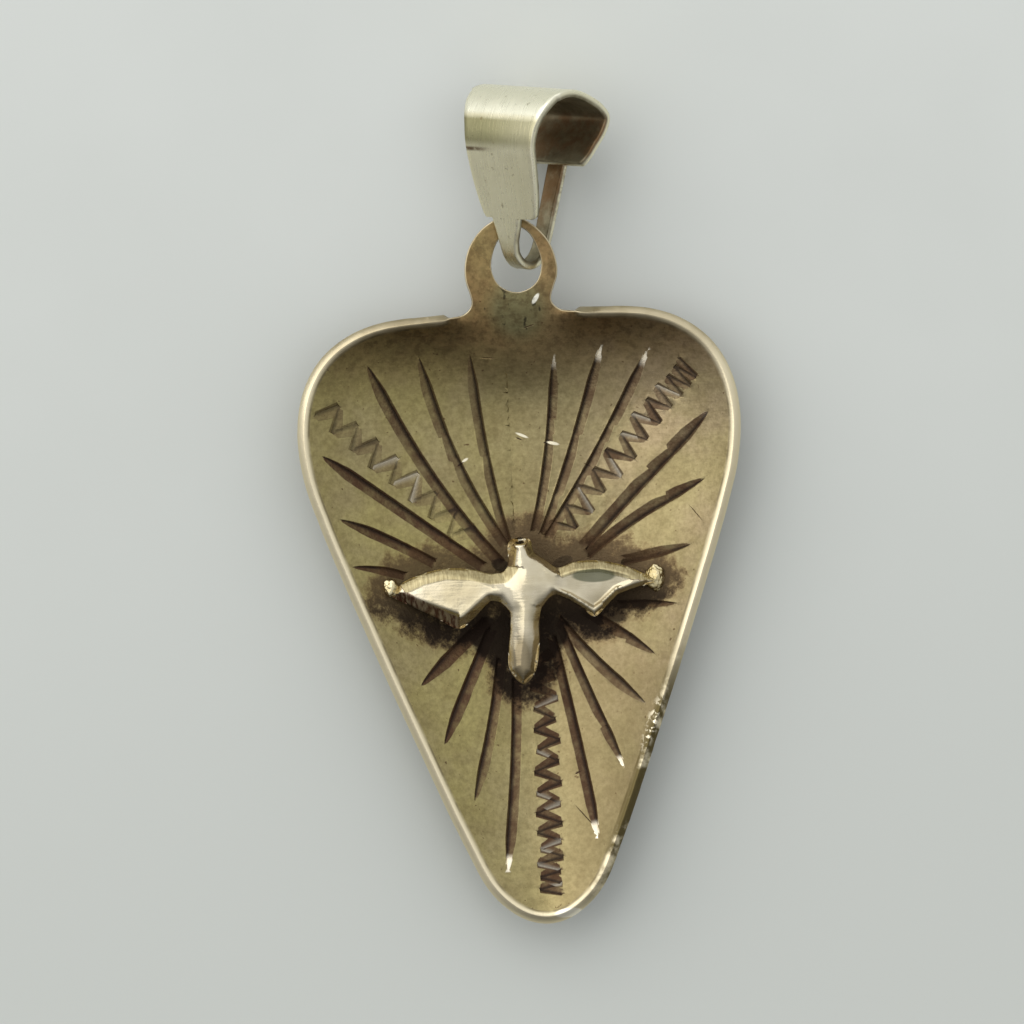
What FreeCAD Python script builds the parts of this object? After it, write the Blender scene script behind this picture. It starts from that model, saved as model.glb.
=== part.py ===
import FreeCAD, Part
import math
import os

V = FreeCAD.Vector
os.makedirs("parts", exist_ok=True)

# Everything is in mm. The pendant lies on its back: +Z up, the eye toward +Y.

# plate
SHEET = 0.42            # thickness of the pressed sheet
DISH = 2.4              # rim height over the middle of the hollow face
DISH_Y = 1.5            # deepest place of the dish
P_SIDE = 2.7            # how sharply the dish turns up at its sides
P_TOP = 2.2             # added sharpness at the top edge
RIM_Z = 2.2             # height at which the outline below is the silhouette
RIM_DRAFT = 48.0        # lean of the filed rim face, from vertical
TAB_Z = 2.25            # height of the eye's upper face
TAB_HALF = 2.0          # half width of the flat tongue that runs up to the eye
NECK_HALF = 1.68
NECK_Y = 12.1
EYE_X, EYE_Y, EYE_R = 0.06, 13.38, 1.97
EYE_TOP = 15.75
HOLE_X, HOLE_Y, HOLE_R = 0.30, 13.55, 1.05
HOLE_TOP = 15.26

# right half of the outline, from the top middle round to the tip
OUTLINE = [(0, 11.62), (3.0, 11.56), (5.75, 11.33), (7.1, 10.80), (8.1, 9.98),
           (8.8, 8.80), (9.13, 7.2), (8.99, 5.25), (8.4, 3.15), (6.5, -2.1),
           (4.88, -6.3), (3.19, -10.5), (2.15, -12.6), (1.0, -13.6)]
TIP_Y = -13.86

# engraving
RAY_HALF = 0.26
RAY_DEPTH = 0.13
RAY_STEP = 2.6          # widest spacing of a ray's sections
BEND_FIT = 0.02         # how far the dish may bend away between two sections
RAY_FLOOR = 0.45        # how far a ray's floor lies to one side, in half widths
# outer end, inner end, bow of the middle to the side, and the side its floor leans to
RAYS = [((-6.22, 9.80), (-1.15, 1.20), 0.40, -1), ((-4.05, 10.05), (-0.89, 1.95), 0.43, -1),
        ((-1.90, 10.05), (-0.81, 2.15), 0.20, -1), ((-0.02, 10.00), (-0.68, 2.70), -0.05, -1),
        ((1.64, 9.75), (0.41, 2.50), -0.22, 1), ((3.65, 10.05), (0.79, 2.34), -0.13, 1),
        ((5.60, 9.75), (0.95, 2.19), -0.17, 1), ((7.98, 7.06), (2.39, 1.68), 0.06, -1),
        ((7.65, 4.25), (2.58, 1.38), 0.20, -1), ((6.90, 1.52), (4.03, 0.99), 0.0, -1),
        ((6.20, -0.95), (3.80, -0.85), 0.0, 1), ((5.12, -3.02), (2.36, -1.06), 0.0, 1),
        ((4.58, -5.05), (1.15, -1.33), -0.16, 1), ((3.54, -7.65), (1.27, -1.76), -0.07, 1),
        ((2.25, -10.55), (0.85, -2.09), 0.06, 1), ((-1.60, -11.70), (-0.75, -3.74), 0.12, -1),
        ((-2.80, -8.72), (-1.35, -2.86), 0.14, -1), ((-3.92, -6.27), (-1.67, -1.58), 0.0, -1),
        ((-4.75, -3.75), (-1.86, -1.22), 0.0, -1), ((-8.35, 6.13), (-1.92, 1.10), 0.0, -1),
        ((-7.75, 3.42), (-3.94, 1.36), -0.07, -1), ((-7.35, 1.40), (-5.23, 0.91), -0.06, -1)]
ZIG_HALF = 0.56         # half width of a zigzag band
ZIG_CUT = 0.13          # half width of one zigzag stroke
ZIG_DEPTH = 0.09
BANDS = [((-8.1, 8.05), (-2.6, 2.4), 13), ((7.3, 8.8), (1.9, 2.55), 14), ((0.05, -12.6), (0.5, -2.9), 16)]

# dove
DOVE_Z = 1.12           # underside of the dove over the middle of the dish
DOVE_SIDE = 0.34
DOVE_TOP = 0.88
DOVE_INSET = 0.30
DOVE = [(-0.69, 2.1), (0.13, 2.14), (0.31, 1.58), (0.75, 1.22), (1.25, 0.86), (1.96, 1.06), (3.13, 1.03),
        (4.33, 0.66), (5.30, 0.05), (4.62, -0.16), (3.76, -0.4), (3.18, -0.91), (2.68, -1.28),
        (2.22, -0.93), (1.57, -0.5), (1.05, -0.28), (0.54, -0.75), (0.38, -1.37), (0.33, -2.12),
        (0.04, -3.49), (-0.45, -3.93), (-1.0, -3.31), (-1.01, -2.46), (-0.92, -1.67), (-0.88, -0.89),
        (-1.25, -0.47), (-1.62, -0.41), (-1.94, -0.68), (-2.6, -1.25), (-3.01, -1.46), (-3.99, -0.93),
        (-4.99, -0.37), (-5.80, 0.15), (-5.4, 0.55), (-4.49, 0.92), (-3.47, 1.1), (-2.32, 1.0),
        (-1.55, 0.79), (-1.09, 0.80), (-0.84, 1.05)]
SOLDERS = [("wing_solder_left", -5.78, 0.42, 0.40), ("wing_solder_right", 5.33, 0.18, 0.46)]

# bail: one strip, folded round; its middle line is given as depth behind
# the front leaf and height above the fold, and its half widths by height
BAIL_T = 0.34
ARC_FIT = 0.02          # how closely its arcs follow the smooth fold
BAIL_LOOP = [(1.42, 3.06), (2.06, 3.66), (2.64, 4.20), (2.93, 4.72), (2.60, 5.26), (1.86, 5.84),
             (1.15, 6.22), (0.55, 6.36), (0.05, 6.33), (-0.46, 6.07), (-0.85, 5.66), (-1.10, 5.20),
             (-1.28, 4.55), (-1.27, 3.65), (-1.22, 2.77), (-1.17, 2.0), (-1.13, 1.30)]
BAIL_HOOK = [(-1.17, 2.0), (-1.13, 1.30), (-1.09, 0.60), (-1.04, 0.15), (-0.92, -0.38), (-0.62, -0.80),
             (-0.10, -1.03), (0.42, -0.92), (0.80, -0.62), (1.08, -0.22), (1.65, 0.85), (2.25, 1.97),
             (2.82, 3.03), (3.18, 3.72), (3.42, 4.42)]
BAIL_FRONT = [(1.32, 1.15), (1.55, 2.0), (1.68, 2.77), (1.77, 3.65), (1.83, 4.55), (1.93, 5.2),
              (2.08, 5.66), (2.25, 6.07), (2.42, 6.6)]
BAIL_BACK = [(1.96, 2.9), (2.20, 3.4), (2.35, 4.2), (2.42, 4.9), (2.42, 6.6)]
BAIL_ASIDE = 0.44       # how far the loop stands to the right of the hook
HOOK_LEFT = [(-0.36, -1.3), (-0.37, 0.1), (-0.45, 0.8), (-0.55, 1.4), (-0.60, 2.3)]
HOOK_RIGHT = [(0.36, -1.3), (0.37, -0.3), (0.48, 0.2), (0.72, 0.8), (0.92, 1.4), (0.98, 2.3)]
HOOK_BACK = [(0.36, -1.3), (0.46, 4.8)]
BAIL_TWIST = 42.2       # turn about its own length
BAIL_PITCH = 14.0       # loop end raised over the fold
BAIL_LEAN = 3.7         # turn seen from above
BAIL_AT = (0.741, 14.631, 1.961)
BAIL_SOLDER = [(2.45, 4.02), (2.64, 4.20), (2.99, 4.66), (3.40, 4.38), (3.18, 3.72), (3.02, 3.40)]
SOLDER_HALF = 0.42


def mirror_outline():
    right = [V(x, y, 0) for x, y in OUTLINE]
    left = [V(-p.x, p.y, 0) for p in reversed(right[1:])]
    return right + [V(0, TIP_Y, 0)] + left


def closed_spline(points):
    curve = Part.BSplineCurve()
    curve.interpolate(points, PeriodicFlag=True)
    return curve


def offset_points(points, distance):
    """Moves a clockwise outline outward, or inward by a negative distance."""
    moved = []
    count = len(points)
    for i, p in enumerate(points):
        a, b = points[i - 1], points[(i + 1) % count]
        along = V(b.x - a.x, b.y - a.y, 0).normalize()
        moved.append(V(p.x - along.y * distance, p.y + along.x * distance, 0))
    return moved


rim_points = mirror_outline()
rim_curve = closed_spline(rim_points)
RADIUS = []
for p in rim_curve.toShape().discretize(721):
    RADIUS.append((math.atan2(p.y - DISH_Y, p.x), math.hypot(p.x, p.y - DISH_Y)))
RADIUS.sort()


def rim_radius(angle):
    low, high = 0, len(RADIUS) - 1
    if angle <= RADIUS[0][0] or angle >= RADIUS[high][0]:
        return RADIUS[0][1]
    while high - low > 1:
        mid = (low + high) // 2
        if RADIUS[mid][0] < angle:
            low = mid
        else:
            high = mid
    a, b = RADIUS[low], RADIUS[high]
    return a[1] + (b[1] - a[1]) * (angle - a[0]) / max(b[0] - a[0], 1e-9)


def smooth(a, b, value):
    t = min(max((value - a) / (b - a), 0.0), 1.0)
    return t * t * (3 - 2 * t)


def height(x, y):
    """The hollow face of the plate: a dish that runs out flat into the eye."""
    reach = math.hypot(x, y - DISH_Y)
    angle = math.atan2(y - DISH_Y, x)
    power = P_SIDE + P_TOP * smooth(0.55, 1.0, math.sin(angle))
    r = reach / rim_radius(angle)
    dish = DISH * (r ** power if r < 1 else 1 + power * (r - 1))
    tongue = TAB_Z * smooth(6.6, 12.9, y)
    half = TAB_HALF + 4.0 * smooth(11.3, 12.6, y)
    blend = smooth(6.0, 10.0, y) / (1 + (abs(x - 0.1) / half) ** 6)
    return dish * (1 - blend) + tongue * blend


def normal(x, y):
    e = 0.02
    sx = (height(x + e, y) - height(x - e, y)) / (2 * e)
    sy = (height(x, y + e) - height(x, y - e)) / (2 * e)
    return V(-sx, -sy, 1).normalize()


def grid_face(rows):
    surface = Part.BSplineSurface()
    surface.interpolate(rows)
    return surface.toShape()


def make_slab():
    upper, lower = [], []
    for i in range(28):
        x = -9.99 + 0.74 * i
        top_row, bottom_row = [], []
        for j in range(42):
            y = -14.5 + 0.75 * j
            p = V(x, y, height(x, y))
            top_row.append(p)
            bottom_row.append(p - normal(x, y) * SHEET)
        upper.append(top_row)
        lower.append(bottom_row)
    top, bottom = grid_face(upper), grid_face(lower)
    faces = [top, bottom]
    for a, b in zip(top.Edges, bottom.Edges):
        faces.append(Part.makeRuledSurface(a, b))
    shell = Part.makeShell(faces)
    shell.sewShape()
    slab = Part.Solid(Part.Shell(shell.Faces))
    if slab.Volume < 0:
        slab.reverse()
    return slab


def wire_at(points, z):
    wire = Part.Wire([closed_spline(points).toShape()])
    wire.translate(V(0, 0, z))
    return wire


def make_blank():
    """What the sheet is trimmed to: a leaning rim, and the upright-edged eye."""
    lean = math.tan(math.radians(RIM_DRAFT))
    below, above = 2.9, 0.75
    rim = Part.makeLoft([wire_at(offset_points(rim_points, below * lean), RIM_Z - below),
                         wire_at(offset_points(rim_points, -above * lean), RIM_Z + above)], True, True)
    outer = Part.Wire([
        Part.Arc(V(-2.75, 11.3, 0), V(-1.93, 11.72, 0), V(-NECK_HALF, NECK_Y, 0)).toShape(),
        Part.Arc(V(-NECK_HALF, NECK_Y, 0), V(EYE_X - EYE_R + 0.03, EYE_Y - 0.2, 0),
                 V(EYE_X - EYE_R + 0.06, EYE_Y + 0.45, 0)).toShape(),
        eye_top(-1), eye_top(1),
        Part.Arc(V(EYE_X + EYE_R - 0.06, EYE_Y + 0.45, 0), V(EYE_X + EYE_R - 0.03, EYE_Y - 0.2, 0),
                 V(NECK_HALF, NECK_Y, 0)).toShape(),
        Part.Arc(V(NECK_HALF, NECK_Y, 0), V(1.93, 11.72, 0), V(2.75, 11.3, 0)).toShape(),
        Part.makeLine(V(2.75, 11.3, 0), V(2.3, 9.6, 0)),
        Part.makeLine(V(2.3, 9.6, 0), V(-2.3, 9.6, 0)),
        Part.makeLine(V(-2.3, 9.6, 0), V(-2.75, 11.3, 0))])
    eye = Part.Face(outer).extrude(V(0, 0, 5))
    eye.translate(V(0, 0, -1))
    return rim.fuse(eye)


def eye_top(side):
    """A quarter of the eye's rounded crown, on one side."""
    edge = Part.BSplineCurve()
    x0, y0 = EYE_X + side * (EYE_R - 0.06), EYE_Y + 0.45
    points = [V(x0, y0, 0), V(EYE_X + side * 1.62, EYE_Y + 1.25, 0),
              V(EYE_X + side * 0.95, EYE_Y + 1.98, 0), V(EYE_X + 0.1, EYE_TOP, 0)]
    tangents = (V(-side * 0.12, 1, 0), V(-side, 0, 0))
    edge.interpolate(points, InitialTangent=tangents[0], FinalTangent=tangents[1])
    return edge.toShape()


def make_hole():
    points = [V(HOLE_X - HOLE_R, HOLE_Y, 0), V(HOLE_X - 0.82, HOLE_Y + 0.95, 0), V(HOLE_X - 0.38, HOLE_Y + 1.52, 0),
              V(HOLE_X + 0.08, HOLE_TOP, 0), V(HOLE_X + 0.55, HOLE_Y + 1.46, 0), V(HOLE_X + 0.9, HOLE_Y + 0.8, 0),
              V(HOLE_X + HOLE_R, HOLE_Y, 0), V(HOLE_X + 0.74, HOLE_Y - 0.74, 0),
              V(HOLE_X, HOLE_Y - HOLE_R, 0), V(HOLE_X - 0.74, HOLE_Y - 0.74, 0)]
    hole = Part.Face(Part.Wire([closed_spline(points).toShape()])).extrude(V(0, 0, 4))
    hole.translate(V(0, 0, 0.5))
    return hole


def groove(start, end, half, depth, taper_in, taper_out, steep=0.0, bow=0.0):
    """A V cut that follows the dish; `steep` moves its floor and `bow` its middle to one side."""
    length = math.hypot(end[0] - start[0], end[1] - start[1])
    ux, uy = (end[0] - start[0]) / length, (end[1] - start[1]) / length
    marks = [0.0, 0.10]
    while length * (1 - marks[-1]) > 0.3:
        x, y = start[0] + ux * length * marks[-1], start[1] + uy * length * marks[-1]
        bend = abs(height(x + ux, y + uy) - 2 * height(x + ux / 2, y + uy / 2) + height(x, y)) / 0.25
        step = min(max(math.sqrt(8 * BEND_FIT / max(bend, 1e-6)), 0.8), RAY_STEP)
        marks.append(min(marks[-1] + step / length, 1.0))
    marks[-1] = 1.0
    sections = []
    for s in marks:
        grow = min(1.0, taper_in + (1 - taper_in) * s / 0.10)
        size = grow * (1 - (1 - taper_out) * s)
        aside = 4 * bow * s * (1 - s)
        cx = start[0] + ux * length * s + uy * aside
        cy = start[1] + uy * length * s - ux * aside
        ring = []
        floor = V(cx + uy * half * size * steep, cy - ux * half * size * steep, 0)
        floor.z = height(floor.x, floor.y) - depth * size
        for side in (-1, 1):
            edge = V(cx + uy * half * size * side, cy - ux * half * size * side, 0)
            edge.z = height(edge.x, edge.y)
            ring.append(floor + (edge - floor) * (1 + 0.11 / (depth * size)))
        sections.append(Part.makePolygon([floor, ring[0], ring[1], floor]))
    return Part.makeLoft(sections, True, True)


def engraving():
    cuts = []
    for start, end, bow, side in RAYS:
        cuts.append(groove(start, end, RAY_HALF, RAY_DEPTH, 0.12, 0.62, RAY_FLOOR * side, bow))
    for start, end, strokes in BANDS:
        length = math.hypot(end[0] - start[0], end[1] - start[1])
        ux, uy = (end[0] - start[0]) / length, (end[1] - start[1]) / length
        corners = []
        for k in range(strokes + 1):
            s = length * k / strokes
            side = ZIG_HALF * (1 if k % 2 else -1)
            corners.append((start[0] + ux * s + uy * side, start[1] + uy * s - ux * side))
        for a, b in zip(corners, corners[1:]):
            cuts.append(groove(a, b, ZIG_CUT, ZIG_DEPTH, 0.5, 1.0))
    return cuts


def make_dove():
    """A faceted bird: upright sides under one row of bevels and a flat crown."""
    count = len(DOVE)
    inner = []
    for i, (x, y) in enumerate(DOVE):
        ax, ay = DOVE[i - 1]
        bx, by = DOVE[(i + 1) % count]
        u = V(x - ax, y - ay, 0).normalize()
        w = V(bx - x, by - y, 0).normalize()
        bisector = V(u.y + w.y, -u.x - w.x, 0)
        inward = bisector.normalize() * (DOVE_INSET / max(0.55, math.sqrt((1 + u.dot(w)) / 2)))
        inner.append((x + inward.x, y + inward.y))
    low = Part.makePolygon([V(x, y, 0) for x, y in DOVE + DOVE[:1]])
    side = [V(x, y, DOVE_SIDE) for x, y in DOVE]
    crown = [V(x, y, DOVE_TOP) for x, y in inner]
    body = Part.Face(low).extrude(V(0, 0, DOVE_SIDE))
    bevel = Part.makeLoft([Part.makePolygon(side + side[:1]), Part.makePolygon(crown + crown[:1])], True, True)
    bird = body.fuse(bevel)
    bird.translate(V(0, 0, DOVE_Z))
    return bird


def smooth_arcs(points):
    """Tangent arcs that follow a smooth curve through the points."""
    curve = Part.BSplineCurve()
    curve.interpolate(points)
    return [arc.toShape() for arc in curve.toBiArcs(ARC_FIT)]


def folded(stations):
    """The strip's bent section, extruded across to more than its full width."""
    middle = Part.BSplineCurve()
    middle.interpolate([V(0, u, -b) for b, u in stations])
    sides = {1: [], -1: []}
    for b, u in stations:
        at = V(0, u, -b)
        along = middle.tangent(middle.parameter(at))[0]
        across = V(0, -along.z, along.y) * (BAIL_T / 2)
        for side in sides:
            sides[side].append(at + across * side)
    edges = []
    for side in sides:
        edges.extend(smooth_arcs(sides[side]))
    for end in (0, -1):
        edges.append(Part.makeLine(sides[1][end], sides[-1][end]))
    band = Part.Face(Part.Wire(Part.__sortEdges__(edges))).extrude(V(6, 0, 0))
    band.translate(V(-3, 0, 0))
    return band


def pattern(left, right, near, far):
    """What a leaf is cut to: its two edges from the fold up, from depth near to far."""
    sides = []
    for points in (left, right):
        corners = [V(w, u, 0) for w, u in points]
        if len(corners) > 2:
            sides.extend(smooth_arcs(corners))
        else:
            sides.append(Part.makeLine(corners[0], corners[1]))
    for end in (0, -1):
        sides.append(Part.makeLine(V(*left[end], 0), V(*right[end], 0)))
    block = Part.Face(Part.Wire(Part.__sortEdges__(sides))).extrude(V(0, 0, far - near))
    block.translate(V(0, 0, -far))
    return block


def evenly(halves, aside):
    """Left and right edges from half widths, moved aside."""
    return [(aside - half, u) for half, u in halves], [(aside + half, u) for half, u in halves]


def make_bail():
    """A broad loop, narrowed to a hook that passes through the eye and runs up behind."""
    loop = folded(BAIL_LOOP)
    hook = folded(BAIL_HOOK)
    front = loop.common(pattern(*evenly(BAIL_FRONT, BAIL_ASIDE), -3.0, 0.0))
    back = loop.common(pattern(*evenly(BAIL_BACK, BAIL_ASIDE), 0.0, 4.0))
    hook_front = hook.common(pattern(HOOK_LEFT, HOOK_RIGHT, -3.0, 0.0))
    hook_back = hook.common(pattern(*evenly(HOOK_BACK, 0.0), 0.0, 5.0))
    return front.fuse([back, hook_front, hook_back]).removeSplitter()


def bail_place():
    turn = FreeCAD.Rotation(V(0, 0, 1), BAIL_LEAN)
    turn = turn.multiply(FreeCAD.Rotation(V(1, 0, 0), BAIL_PITCH))
    turn = turn.multiply(FreeCAD.Rotation(V(0, 1, 0), -BAIL_TWIST))
    return FreeCAD.Placement(V(*BAIL_AT), turn)


plate = make_slab().common(make_blank())
plate = plate.cut(make_hole())
plate = plate.cut(engraving())
plate = plate.Solids[0]

dove = make_dove().cut(plate)
dove = max(dove.Solids, key=lambda s: s.Volume)

solders = {}
for name, x, y, radius in SOLDERS:
    ball = Part.makeSphere(radius, V(0, 0, 0))
    ball.translate(V(x, y, height(x, y) + 0.08))
    lump = ball.cut([plate, dove])
    solders[name] = max(lump.Solids, key=lambda s: s.CenterOfMass.z * s.Volume)

bail = make_bail()
corners = [V(-SOLDER_HALF, u, -b) for b, u in BAIL_SOLDER]
pad = Part.Face(Part.makePolygon(corners + corners[:1])).extrude(V(2 * SOLDER_HALF, 0, 0))
bail_solder = max(pad.cut(bail).Solids, key=lambda s: s.Volume)
bail.Placement = bail_place()
bail_solder.Placement = bail_place()

pieces = {"plate": plate, "dove": dove, "bail": bail, "bail_solder": bail_solder}
pieces.update(solders)
box = Part.makeCompound(list(pieces.values())).optimalBoundingBox(False)
shift = V(-(box.XMin + box.XMax) / 2, -(box.YMin + box.YMax) / 2, -box.ZMin)
for name, shape in pieces.items():
    shape.translate(shift)
    shape.exportStep("parts/%s.step" % name)
print("shift", tuple(round(v, 4) for v in shift), "size", round(box.XLength, 3), round(box.YLength, 3), round(box.ZLength, 3))
for name, shape in pieces.items():
    print(name, shape.isValid(), len(shape.Solids), round(shape.Volume, 3), round(shape.optimalBoundingBox(False).ZMin, 3))
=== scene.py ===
import bpy
import bmesh
import math
import random
from mathutils import Euler, Matrix, Vector, noise
from mathutils.geometry import delaunay_2d_cdt


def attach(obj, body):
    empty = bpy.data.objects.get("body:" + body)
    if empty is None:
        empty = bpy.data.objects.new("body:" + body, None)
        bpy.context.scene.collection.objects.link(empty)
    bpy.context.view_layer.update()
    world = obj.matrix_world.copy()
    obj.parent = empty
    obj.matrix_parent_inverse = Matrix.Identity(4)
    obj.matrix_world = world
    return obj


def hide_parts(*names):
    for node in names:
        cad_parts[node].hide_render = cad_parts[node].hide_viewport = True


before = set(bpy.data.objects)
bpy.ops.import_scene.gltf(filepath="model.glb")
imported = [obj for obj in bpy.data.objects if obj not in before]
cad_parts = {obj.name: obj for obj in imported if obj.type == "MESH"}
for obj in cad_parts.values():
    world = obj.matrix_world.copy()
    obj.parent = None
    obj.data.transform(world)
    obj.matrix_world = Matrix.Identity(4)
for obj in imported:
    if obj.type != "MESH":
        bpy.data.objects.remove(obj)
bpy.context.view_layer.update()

# Lengths are in mm in the plate's own frame, whose middle is DISH_Y up the dish,
# and SHIFT carries them to the frame of the solids.
MM = 0.001
SHIFT = Vector((0.0, -3.6386, 0.4212))
SHEET = 0.42
DISH = 2.4
DISH_Y = 1.5
P_SIDE = 2.7            # how late the dish rises toward its sides
P_TOP = 2.2             # how much later it rises toward the top wall
RIM_Z = 2.2
RIM_DRAFT = 48.0        # lean of the filed rim face, from upright
RIM_LEAN = math.tan(math.radians(RIM_DRAFT))
TAB_Z = 2.25
TAB_HALF = 2.0
OUTLINE = [(0, 11.62), (3.0, 11.56), (5.75, 11.33), (7.1, 10.80), (8.1, 9.98),
           (8.8, 8.80), (9.13, 7.2), (8.99, 5.25), (8.4, 3.15), (6.5, -2.1),
           (4.88, -6.3), (3.19, -10.5), (2.15, -12.6), (1.0, -13.6)]
TIP_Y = -13.86
EYE_X, EYE_Y, EYE_R = 0.06, 13.38, 1.97
EYE_TOP = 15.75
NECK_HALF = 1.68
NECK_Y = 12.1
HOLE_X, HOLE_Y, HOLE_R = 0.30, 13.55, 1.05
HOLE_TOP = 15.26


def smooth(a, b, value):
    t = min(max((value - a) / (b - a), 0.0), 1.0)
    return t * t * (3 - 2 * t)


def lerp(a, b, t):
    return a + (b - a) * t


def spline(points, step, closed=False):
    """Evenly spaced points on a smooth curve through `points`."""
    pts = [Vector(p) for p in points]
    count = len(pts)
    fine = []
    spans = count if closed else count - 1
    for i in range(spans):
        if closed:
            p0, p1, p2, p3 = (pts[(i + k) % count] for k in (-1, 0, 1, 2))
        else:
            p1, p2 = pts[i], pts[i + 1]
            p0 = pts[i - 1] if i else p1 * 2 - p2
            p3 = pts[i + 2] if i + 2 < count else p2 * 2 - p1
        d0 = max((p1 - p0).length, 1e-6) ** 0.5
        d1 = max((p2 - p1).length, 1e-6) ** 0.5
        d2 = max((p3 - p2).length, 1e-6) ** 0.5
        m1 = (p2 - p1) + d1 * ((p1 - p0) / d0 - (p2 - p0) / (d0 + d1))
        m2 = (p2 - p1) + d1 * ((p3 - p2) / d2 - (p3 - p1) / (d1 + d2))
        for k in range(24):
            t = k / 24
            h0, h1 = 2 * t ** 3 - 3 * t ** 2 + 1, t ** 3 - 2 * t ** 2 + t
            h2, h3 = -2 * t ** 3 + 3 * t ** 2, t ** 3 - t ** 2
            fine.append(p1 * h0 + m1 * h1 + p2 * h2 + m2 * h3)
    if closed:
        fine.append(fine[0].copy())
    else:
        fine.append(pts[-1])
    lengths = [0.0]
    for a, b in zip(fine, fine[1:]):
        lengths.append(lengths[-1] + (b - a).length)
    number = max(2, int(round(lengths[-1] / step)))
    out = []
    j = 0
    for k in range(number if closed else number + 1):
        want = lengths[-1] * k / number
        while j < len(lengths) - 2 and lengths[j + 1] < want:
            j += 1
        t = (want - lengths[j]) / max(lengths[j + 1] - lengths[j], 1e-9)
        out.append(fine[j].lerp(fine[j + 1], min(max(t, 0.0), 1.0)))
    return out


rim = OUTLINE + [(0, TIP_Y)] + [(-x, y) for x, y in reversed(OUTLINE[1:])]
RADIUS = []
for p in spline(rim, 0.08, closed=True):
    RADIUS.append((math.atan2(p.y - DISH_Y, p.x), math.hypot(p.x, p.y - DISH_Y)))
RADIUS.sort()
RADIUS = [(RADIUS[-1][0] - math.tau, RADIUS[-1][1])] + RADIUS + [(RADIUS[0][0] + math.tau, RADIUS[0][1])]
SECTORS = 1440
RIM_TABLE = []
place = 0
for k in range(SECTORS + 1):
    want = -math.pi + math.tau * k / SECTORS
    while RADIUS[place + 1][0] < want and place < len(RADIUS) - 2:
        place += 1
    a, b = RADIUS[place], RADIUS[place + 1]
    RIM_TABLE.append(lerp(a[1], b[1], (want - a[0]) / (b[0] - a[0])))


def rim_radius(angle):
    s = (angle + math.pi) / math.tau * SECTORS
    i = min(int(s), SECTORS - 1)
    return lerp(RIM_TABLE[i], RIM_TABLE[i + 1], s - i)


def height(x, y):
    """The hollow face of the plate before it was engraved."""
    reach = math.hypot(x, y - DISH_Y)
    angle = math.atan2(y - DISH_Y, x)
    power = P_SIDE + P_TOP * smooth(0.55, 1.0, math.sin(angle))
    r = reach / rim_radius(angle)
    dish = DISH * (r ** power if r < 1 else 1 + power * (r - 1))
    tongue = TAB_Z * smooth(6.6, 12.9, y)
    half = TAB_HALF + 4.0 * smooth(11.3, 12.6, y)
    blend = smooth(6.0, 10.0, y) / (1 + (abs(x - 0.1) / half) ** 6)
    return dish * (1 - blend) + tongue * blend


def normal(x, y):
    e = 0.03
    sx = (height(x + e, y) - height(x - e, y)) / (2 * e)
    sy = (height(x, y + e) - height(x, y - e)) / (2 * e)
    return Vector((-sx, -sy, 1)).normalized()


def lower(x, y):
    """The back face straight under or over a point of the plan."""
    px, py = x, y
    for _ in range(3):
        n = normal(px, py)
        px, py = x + n.x * SHEET, y + n.y * SHEET
    return height(px, py) - normal(px, py).z * SHEET


# Engraving. A ray is (outer end, inner end, bow of its middle to the side, side its floor leans to,
# half width, darkness, glint at its outer end, places where the graver was set in again).
RAYS = [((-6.22, 9.80), (-1.15, 1.20), 0.40, -1, .29, .64, .0, ()),
        ((-4.05, 10.05), (-0.89, 1.95), 0.43, -1, .27, .58, .0, (.40, .53)),
        ((-1.90, 10.05), (-0.81, 2.15), 0.20, -1, .24, .54, .0, (.55,)),
        ((1.64, 9.75), (0.41, 2.50), -0.22, 1, .23, .60, .5, (.36, .45)),
        ((3.65, 10.05), (0.79, 2.34), -0.13, 1, .24, .62, .8, (.47, .8)),
        ((5.60, 9.75), (0.95, 2.19), -0.17, 1, .24, .60, .7, (.39, .48, .66)),
        ((7.98, 7.06), (2.39, 1.68), 0.06, -1, .31, .66, .2, (.3, .45)),
        ((7.65, 4.25), (2.58, 1.38), 0.20, -1, .27, .72, .0, (.3,)),
        ((6.90, 1.52), (4.03, 0.99), 0.0, -1, .26, .66, .0, ()),
        ((6.20, -0.95), (3.80, -0.85), 0.0, 1, .22, .62, .0, (.5,)),
        ((5.12, -3.02), (2.36, -1.06), 0.0, 1, .27, .66, .1, (.4,)),
        ((4.58, -5.05), (1.15, -1.33), -0.16, 1, .27, .62, .2, ()),
        ((3.54, -7.65), (1.27, -1.76), -0.07, 1, .23, .72, .9, (.3,)),
        ((2.25, -10.55), (0.85, -2.09), 0.06, 1, .24, .80, 1.0, ()),
        ((-1.60, -11.70), (-0.75, -3.74), 0.12, -1, .25, .70, .9, ()),
        ((-2.80, -8.72), (-1.35, -2.86), 0.14, -1, .25, .70, .0, ()),
        ((-3.92, -6.27), (-1.67, -1.58), 0.0, -1, .28, .88, .0, ()),
        ((-4.75, -3.75), (-1.86, -1.22), 0.0, -1, .31, .90, .0, ()),
        ((-8.35, 6.13), (-1.92, 1.10), 0.0, -1, .28, .82, .0, ()),
        ((-7.75, 3.42), (-3.94, 1.36), -0.07, -1, .26, .80, .0, ()),
        ((-7.35, 1.40), (-5.23, 0.91), -0.06, -1, .22, .86, .0, ())]
RAY_DEPTH = 0.15
RAY_LEAST = 0.1         # a cut deeper than this is a ray
BURR_WIDTH = 0.035
BROAD = ((-0.35, 10.3), (-0.45, 2.3))      # edges of the broad shallow ray over the head
BROAD_WIDTH = 1.35
BROAD_STEPS = 40
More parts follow.
